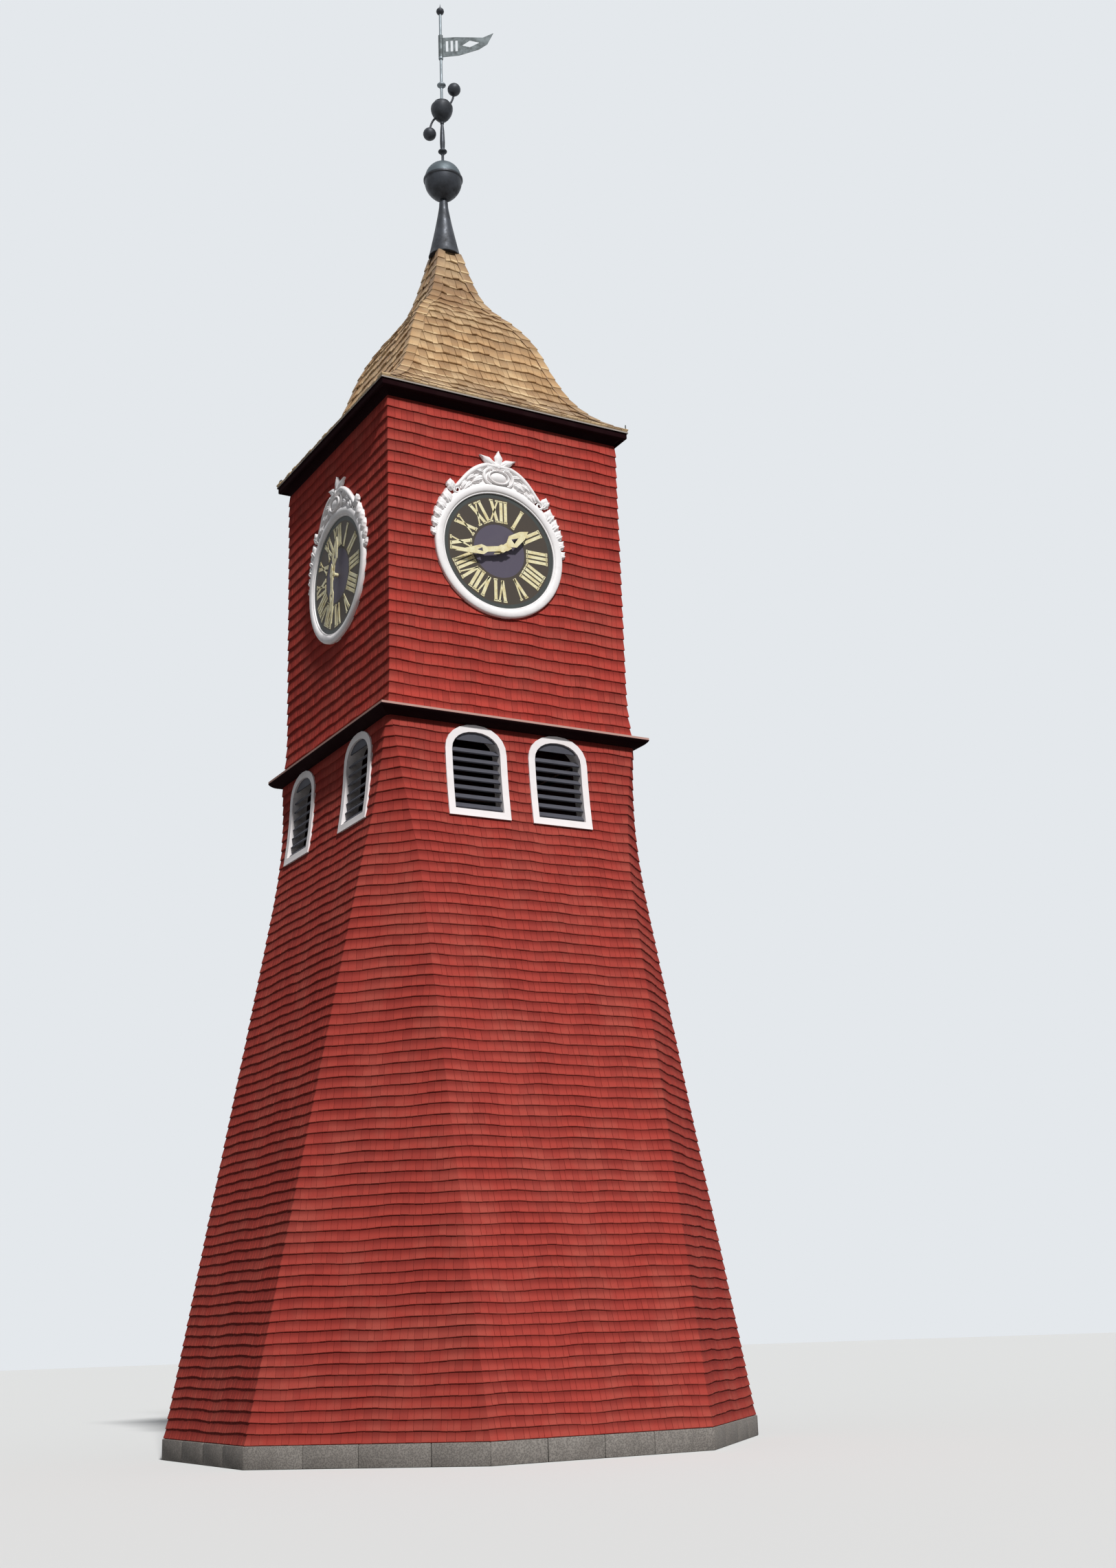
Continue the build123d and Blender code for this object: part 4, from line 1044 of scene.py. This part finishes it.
class TOWER_OT_surrounds(bpy.types.Operator):
    """White carved surrounds: a round moulding with crest, scrolls, leaves and a cartouche"""

    bl_idname = "tower.surrounds"
    bl_label = "Dial Surrounds"

    def execute(self, context):
        settings = context.scene.tower_carving
        finish = brushed_paint("carved_paint", settings.paint, settings.dust, roughness=0.5,
                               streak=2, patch_size=0.2, most=0.3)
        for side in SIDES:
            bm = bmesh.new()
            self.moulding(bm)
            self.field(bm, settings)
            self.crown(bm, settings)
            self.cartouche(bm)
            for way in (1, -1):
                self.slope(bm, settings, way)
                self.leaves(bm, settings, way)
            bmesh.ops.transform(bm, matrix=dial_place(side), verts=bm.verts)
            make_piece(f"carved_surround_{side}", mesh_of(bm), finish,
                       replaces=(f"dial_surround_{side}",), smooth=38)
        return {"FINISHED"}

    def moulding(self, bm):
        """The rounded ring with a fillet inside it, rebated at the back over the dial's edge."""
        rebate, fillet, shelf = DIAL_RADIUS + 0.06, DIAL_RADIUS + 0.022, 0.045
        middle, half = (fillet + RING_RADIUS) / 2, (RING_RADIUS - fillet) / 2
        outline = [(rebate, DIAL_FRONT), (rebate, 0.0), (RING_RADIUS, 0.0), (RING_RADIUS, shelf)]
        for angle in np.radians(np.linspace(8, 172, 11)):
            outline.append((middle + half * math.cos(angle),
                            shelf + (RING_FRONT - shelf) * math.sin(angle) ** 0.8))
        outline += [(fillet, 0.05), (fillet, 0.058), (DIAL_RADIUS + 0.004, 0.056), (DIAL_RADIUS, 0.052),
                    (DIAL_RADIUS, DIAL_FRONT), (rebate, DIAL_FRONT)]
        lathe(bm, outline, steps=96)

    def slope_line(self, settings, count):
        """The crest's rounded edge, from its flat top down to its shoulder."""
        knots = ((CROWN_HALF, settings.crown), (0.43, settings.crown - 0.07),
                 (0.61, settings.shoulder + 0.25), (SHOULDER_HALF, settings.shoulder))
        return interpolate_bezier(*[Vector((along, up, 0)) for along, up in knots], count)

    def field(self, bm, settings):
        """The plain ground between the ring and the crest's edge."""
        half = [(point.x, point.y) for point in self.slope_line(settings, 12)]
        half += arc((0, 0), (1.1, 1.1), 57, 85, 5)
        outline = half + [(-along, up) for along, up in reversed(half)]
        face = bm.faces.new([bm.verts.new((along, up, 0.0)) for along, up in outline])
        grown = bmesh.ops.extrude_face_region(bm, geom=[face])["geom"]
        front = [item for item in grown if isinstance(item, bmesh.types.BMVert)]
        bmesh.ops.translate(bm, vec=(0, 0, 0.045), verts=front)

    def slope(self, bm, settings, way):
        """The thick roll down one side of the crest, which ends in a volute."""
        inward = Vector((-0.62, -0.78, 0)) * settings.roll * 0.8 + Vector((0, 0, 0.05))
        path = [point + inward for point in self.slope_line(settings, 16)]
        radii = [settings.roll * (0.75 + 0.35 * math.sin(math.pi * min(1.0, 0.15 + share)))
                 for share in np.linspace(0, 1, 16)]
        last = radii[-1]
        middle = path[-1] + Vector((0.005, -0.075, 0.0))
        for number in range(1, 17):
            angle = math.radians(95 - 30 * number)
            reach = 0.075 * (1 - number / 22)
            curl = Vector((reach * math.cos(angle), reach * math.sin(angle), 0.0006 * number))
            path.append(middle + curl)
            radii.append(last * (1 - number / 24) * 0.8)
        flipped = Matrix.Diagonal((way, 1.0, 1.0, 1.0))
        tube(bm, path, radii, flipped, sides=12)
        # A thin bead that follows the roll on the field
        bead = [point + Vector((-0.09, -0.1, 0.045)) for point in self.slope_line(settings, 14)[1:-2]]
        tube(bm, bead, [0.014] * len(bead), flipped, sides=6)

    def leaves(self, bm, settings, way):
        """Leaves on the field and the shoulder, and the fall of leaves beside the ring."""
        rise = settings.relief
        # Root along and up, turn from upright, length and width of each leaf
        for along, up, turn, long, wide in (
                (0.27, 1.36, 78, 0.2, 0.1), (0.3, 1.25, 112, 0.22, 0.11), (0.44, 1.27, 118, 0.2, 0.1),
                (0.5, 1.13, 128, 0.22, 0.1), (0.6, 1.13, 138, 0.17, 0.09), (0.86, 0.95, 4, 0.17, 0.16),
                (0.84, 0.93, 38, 0.17, 0.12)):
            leaf(bm, flat_place(way * along, up, -way * turn, 0.03), long, wide, rise, bend=way * 0.18)
        # Five pairs of leaves, each smaller than the pair above it
        for number, (along, up) in enumerate(arc((0, 0), (1.13, 1.13), 36, 4, 5)):
            shrink = 1 - 0.09 * number
            for turn, long, wide, out in ((-38, 0.27, 0.2, 0.0), (-66, 0.2, 0.15, 0.012)):
                place = flat_place(way * along, up, way * (36 - 8 * number + turn), out)
                leaf(bm, place, long * shrink, wide * shrink, 1.6 * rise * shrink, bend=way * 0.2,
                     lobes=2)
        # The stem that the fall of leaves grows from
        stem = [Vector((way * along, up, 0.035)) for along, up in arc((0, 0), (1.18, 1.18), 48, 5, 14)]
        tube(bm, stem, np.linspace(0.03, 0.012, 14))

    def cartouche(self, bm):
        """The oval boss with its raised rim, held by two C-shaped scrolls."""
        squashed = Matrix.Translation((0.0, 1.3, 0.0)) @ Matrix.Diagonal((1.0, 0.62, 1.0, 1.0))
        dome = [(0.15 * math.sin(a), 0.06 + 0.052 * math.cos(a)) for a in np.linspace(0.25, 1.57, 6)]
        rim = [(0.185 + 0.022 * math.cos(a), 0.078 + 0.026 * math.sin(a))
               for a in np.linspace(3.4, -0.2, 7)]
        outline = [(0.0, 0.112), *dome, (0.162, 0.055), *rim, (0.207, 0.03), (0.207, 0.0), (0.0, 0.0)]
        lathe(bm, outline, squashed, steps=40)
        radii = [0.018 + 0.012 * math.sin(math.pi * share) for share in np.linspace(0, 1, 13)]
        radii += [0.016 - 0.001 * number for number in range(8)]
        for way in (1, -1):
            scroll = [Vector((way * (0.12 + 0.15 * math.cos(a)), 1.31 + 0.145 * math.sin(a), 0.06))
                      for a in np.linspace(-1.5, 1.6, 13)]
            hook = [Vector((way * (0.13 - 0.035 * math.sin(a)), 1.42 + 0.035 * math.cos(a), 0.062))
                    for a in np.linspace(0.5, 4.2, 8)]
            tube(bm, scroll + hook, radii)

    def crown(self, bm, settings):
        """The small flat cornice on top, with a fan of leaves that stands up from it."""
        size = Vector((2 * CROWN_HALF + 0.03, 0.042, 0.085))
        cap = bmesh.ops.create_cube(bm, size=1.0)["verts"]
        bmesh.ops.scale(bm, verts=cap, vec=size)
        bmesh.ops.translate(bm, verts=cap, vec=(0, settings.crown - size.y / 2, size.z / 2))
        front = [edge for edge in edges_of(cap) if all(vertex.co.z > 0.05 for vertex in edge.verts)]
        soften(bm, front, offset=0.014, segments=3)
        root = settings.crown - 0.04
        # Turn from upright, length and width of each leaf of the fan
        for turn, long, wide in ((84, 0.24, 0.11), (46, 0.36, 0.13), (0, 0.32, 0.15)):
            for way in ((1, -1) if turn else (1,)):
                leaf(bm, flat_place(way * 0.02, root, -way * turn, 0.02), long, wide, settings.relief,
                     bend=way * 0.25 if turn else 0.0, lobes=2)
        knob = [(0.0, 0.1), (0.035, 0.092), (0.055, 0.065), (0.06, 0.03), (0.06, 0.0), (0.0, 0.0)]
        lathe(bm, knob, Matrix.Translation((0.0, root + 0.02, 0.0)), steps=24)


class TOWER_OT_spire(bpy.types.Operator):
    """Smooth sheet metal cone, balls, rod and arms in place of the banded ones"""

    bl_idname = "tower.spire"
    bl_label = "Metal Spire"

    def execute(self, context):
        settings = context.scene.tower_metal
        sheet = {"base": settings.dark, "dull": settings.dull, "roughness": 0.5, "metallic": 0.5,
                 "patch_size": 0.25}
        low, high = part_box("spire_cone")
        top = high[2]
        seam = top + SEAM_RISE
        dark = metal("weathered_metal", **sheet)
        self.cone(dark, high[0], low[2], top)
        self.ball(metal("ball_sheet", **sheet, pale=settings.pale, level=seam + 0.01), top, seam)
        self.rod(metal("rod_metal", **sheet, pale=settings.rod, level=top + PALE_ROD_RISE), top)
        self.middle(dark, top + MIDDLE_BALL_RISE)
        self.top(dark)
        vane = metal("grey_sheet", settings.vane, linear("#4a4f50"), roughness=0.6, metallic=0.3,
                     patch_size=0.15)
        paint_node("weather_vane", vane)
        return {"FINISHED"}

    def cone(self, finish, base, foot, top):
        """The hollow-sided cone, from its rolled lip to the small dome that closes it."""
        neck, lip, dome = 0.085, foot + 0.02, foot + 1.08
        outline = [(0.0, foot), (base, foot), (base + 0.006, foot + 0.01), (base, lip)]
        for share in np.linspace(0, 1, 13):
            outline.append((neck + (base - neck) * (1 - share) ** 1.15, lip + (dome - lip) * share))
        outline += arc((0.06, dome), (0.025, top - dome), 18, 90, 5) + [(0.0, top)]
        turned("cone_sheet", outline, finish, "spire_cone")

    def ball(self, finish, foot, seam):
        """The large ball: a bowl with a lip at its seam, and a round cap on it."""
        neck, wide = 0.06, 0.35
        lip, cap = wide + 0.02, wide - 0.004
        outline = [(0.0, foot), (neck, foot)]
        for share in np.linspace(1 / 7, 1, 7):
            outline.append((neck + (wide - neck) * math.sin(share * math.pi / 2) ** 0.9,
                            foot + 0.4 * share ** 1.25))
        outline += [(lip, seam - 0.03), (lip, seam), (cap, seam + 0.008)]
        outline += arc((0, seam), (cap, wide), 90 / 11, 90, 11)
        turned("large_ball_sheet", outline, finish, "large_ball")

    def rod(self, finish, foot):
        """The rod with its turned collars and the seat of the vane."""
        _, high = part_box("vane_rod")
        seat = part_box("weather_vane")[0][2]
        thin, head = 0.026, high[2]
        outline = [(0.0, foot), (thin, foot)]
        for level, taper in ((foot + 1.06, True), (foot + 2.53, False)):
            outline += [(thin, level - 0.075), (thin + 0.012, level - 0.06), (thin + 0.015, level - 0.04)]
            outline += arc((0.045, level), (0.04, 0.032), -75, 75, 7)
            outline += [(thin + 0.015, level + 0.04), (thin + 0.012, level + 0.06)]
            if taper:
                outline += [(0.044, level + 0.09), (0.048, level + 0.2), (0.04, level + 0.45),
                            (thin, level + 0.6)]
            else:
                outline.append((thin, level + 0.075))
        outline += [(thin, seat - 0.055), (0.04, seat - 0.05), (0.044, seat - 0.04),
                    (0.044, seat - 0.008), (0.04, seat - 0.002), (thin, seat - 0.001), (thin, head),
                    (0.0, head)]
        turned("turned_rod", outline, finish, "vane_rod", steps=24)

    def middle(self, finish, level):
        """The turnip-shaped ball with two curved arms that end in small balls."""
        outline = [(0.0, level - 0.27), (0.036, level - 0.27), (0.04, level - 0.22)]
        for share in np.linspace(1 / 8, 1, 8):
            outline.append((0.04 + 0.17 * math.sin(share * math.pi / 2),
                            level - 0.22 + 0.29 * share ** 1.3))
        for angle in np.radians(np.linspace(55 / 4, 55, 4)):
            outline.append((0.21 * math.cos(angle) ** 0.6, level + 0.07 + 0.12 * math.sin(angle)))
        outline += [(0.15, level + 0.185), (0.15, level + 0.19), (0.0, level + 0.19)]
        bm = bmesh.new()
        lathe(bm, outline)
        bearing = Matrix.Rotation(math.radians(-31), 4, "Z")
        small = 0.125
        for way in (1, -1):
            root = Vector((way * 0.075, 0, level + way * 0.12))
            ball = Vector((way * 0.24, 0, level + way * 0.48))
            arm = [Vector((root.x + (ball.x - root.x) * math.sin(angle), 0,
                           root.z + (ball.z - root.z) * (1 - math.cos(angle))))
                   for angle in np.linspace(0, math.pi / 2, 12)]
            tube(bm, arm, [0.02] * len(arm), bearing, sides=10)
            outline = [(0.0, ball.z - small), *arc((0, ball.z), (small, small), -78.75, 78.75, 15),
                       (0.0, ball.z + small)]
            lathe(bm, outline, bearing @ Matrix.Translation((ball.x, 0, 0)), steps=32)
        make_piece("middle_ball_sheet", mesh_of(bm), finish, replaces=("middle_ball",),
                   smooth=40)

    def top(self, finish):
        """The small ball and spike at the very top."""
        low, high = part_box("top_ball")
        radius = 0.075
        middle = low[2] + radius
        outline = [(0.0, low[2]), (0.026, low[2]), *arc((0, middle), (radius, radius), -62, 70, 11),
                   (0.014, middle + 0.085), (0.008, middle + 0.12), (0.0, high[2])]
        turned("top_ball_sheet", outline, finish, "top_ball", smooth=40, steps=24)


class TOWER_OT_studio(bpy.types.Operator):
    """Plain pale floor, soft light and the camera at the photograph's angle"""

    bl_idname = "tower.studio"
    bl_label = "Studio"

    def execute(self, context):
        settings = context.scene.tower_studio
        scene = context.scene
        self.floor(scene, settings)
        self.light(scene, settings)
        self.camera(scene, settings)
        scene.view_settings.view_transform = "Standard"
        return {"FINISHED"}

    def floor(self, scene, settings):
        """A plain matt floor, pale to the eye and darker in the light that it throws back."""
        bm = bmesh.new()
        bmesh.ops.create_circle(bm, cap_ends=True, segments=64, radius=FLOOR_RADIUS)
        bmesh.ops.translate(bm, vec=(0, 0, -0.002), verts=bm.verts)
        mesh = mesh_of(bm, tidy=False)
        material, tree, coat, _ = new_finish("studio_floor", 0.9)
        seen = self.looked_at(tree)
        colour = add(tree, "Mix", {0: seen, 6: settings.bounce, 7: settings.floor}, data_type="RGBA")
        tree.links.new(colour.outputs[2], coat.inputs["Base Color"])
        mesh.materials.append(material)
        floor = bpy.data.objects.new("studio_floor", mesh)
        scene.collection.objects.link(floor)

    def light(self, scene, settings):
        """A pale sky that fills the shadows, and a key light high in the south, a little to the west."""
        world = bpy.data.worlds.new("studio_world")
        scene.world = world
        world.use_nodes = True
        tree = world.node_tree
        tree.nodes.clear()
        seen = self.looked_at(tree)
        strength = add(tree, "MapRange", {0: seen, 3: settings.sky, 4: 1.0}).outputs[0]
        colour = add(tree, "Mix", {0: seen, 6: linear("#e9effa"), 7: linear("#e4e8ec")},
                     data_type="RGBA").outputs[2]
        sky = add(tree, "Background", {"Color": colour, "Strength": strength})
        add(tree, "OutputWorld", {"Surface": sky.outputs[0]})
        lamp = bpy.data.lights.new("key_light", "SUN")
        lamp.energy = settings.sun
        lamp.angle = settings.softness
        key = bpy.data.objects.new("key_light", lamp)
        key.rotation_euler = Vector(KEY_TOWARD).to_track_quat("Z", "Y").to_euler()
        scene.collection.objects.link(key)

    def camera(self, scene, settings):
        """The camera that takes the photograph's view."""
        lens = bpy.data.cameras.new("photo_camera")
        lens.lens = settings.lens
        lens.sensor_width = 36.0
        lens.sensor_height = 36.0
        lens.sensor_fit = "AUTO"
        lens.clip_end = 400.0
        camera = bpy.data.objects.new("photo_camera", lens)
        yaw, pitch, roll = [math.radians(angle) for angle in CAMERA_TURN]
        flat = math.cos(pitch)
        forward = Vector((-math.sin(yaw) * flat, math.cos(yaw) * flat, math.sin(pitch)))
        right = forward.cross(Vector((0, 0, 1))).normalized()
        up = right.cross(forward)
        rolled_right = right * math.cos(roll) + up * math.sin(roll)
        rolled_up = -right * math.sin(roll) + up * math.cos(roll)
        turn = Matrix((rolled_right, rolled_up, -forward)).transposed()
        camera.matrix_world = Matrix.Translation(CAMERA_PLACE) @ turn.to_4x4()
        scene.collection.objects.link(camera)
        scene.camera = camera

    def looked_at(self, tree):
        """1 for what the camera sees, straight or in a glossy or clear surface, and 0 for light."""
        path = add(tree, "LightPath").outputs
        seen = path["Is Camera Ray"]
        for way in ("Is Glossy Ray", "Is Transmission Ray"):
            seen = add(tree, "Math", {0: seen, 1: path[way]}, operation="MAXIMUM").outputs[0]
        return seen


class TOWER_PT_panel(bpy.types.Panel):
    """The tower's pieces, in the order in which they are made"""

    bl_idname = "TOWER_PT_panel"
    bl_label = "Clock Tower"
    bl_space_type = "VIEW_3D"
    bl_region_type = "UI"
    bl_category = "Clock Tower"

    def draw(self, context):
        for operator in OPERATORS:
            self.layout.operator(operator.bl_idname)
        for group, kind in GROUPS.items():
            settings = getattr(context.scene, group)
            self.layout.label(text=kind.__doc__.split(":")[0])
            for name in kind.__annotations__:
                self.layout.prop(settings, name)


OPERATORS = (TOWER_OT_footing, TOWER_OT_wall_shingles, TOWER_OT_roof_shingles, TOWER_OT_timber,
             TOWER_OT_dials, TOWER_OT_surrounds, TOWER_OT_spire, TOWER_OT_studio)
GROUPS = {"tower_walls": WallSettings, "tower_roof": RoofSettings, "tower_timber": TimberSettings,
          "tower_dial": DialSettings, "tower_carving": CarvingSettings, "tower_metal": MetalSettings,
          "tower_studio": StudioSettings}
CLASSES = (*GROUPS.values(), *OPERATORS, TOWER_PT_panel)


def register():
    for cls in CLASSES:
        bpy.utils.register_class(cls)
    for group, kind in GROUPS.items():
        setattr(bpy.types.Scene, group, bpy.props.PointerProperty(type=kind))


def unregister():
    for group in GROUPS:
        delattr(bpy.types.Scene, group)
    for cls in reversed(CLASSES):
        bpy.utils.unregister_class(cls)


def main():
    register()
    bpy.ops.tower.footing()
    bpy.ops.tower.wall_shingles()
    bpy.ops.tower.roof_shingles()
    bpy.ops.tower.timber()
    bpy.ops.tower.dials()
    bpy.ops.tower.surrounds()
    bpy.ops.tower.spire()
    bpy.ops.tower.studio()
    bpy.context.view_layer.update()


if __name__ == "__main__":
    main()
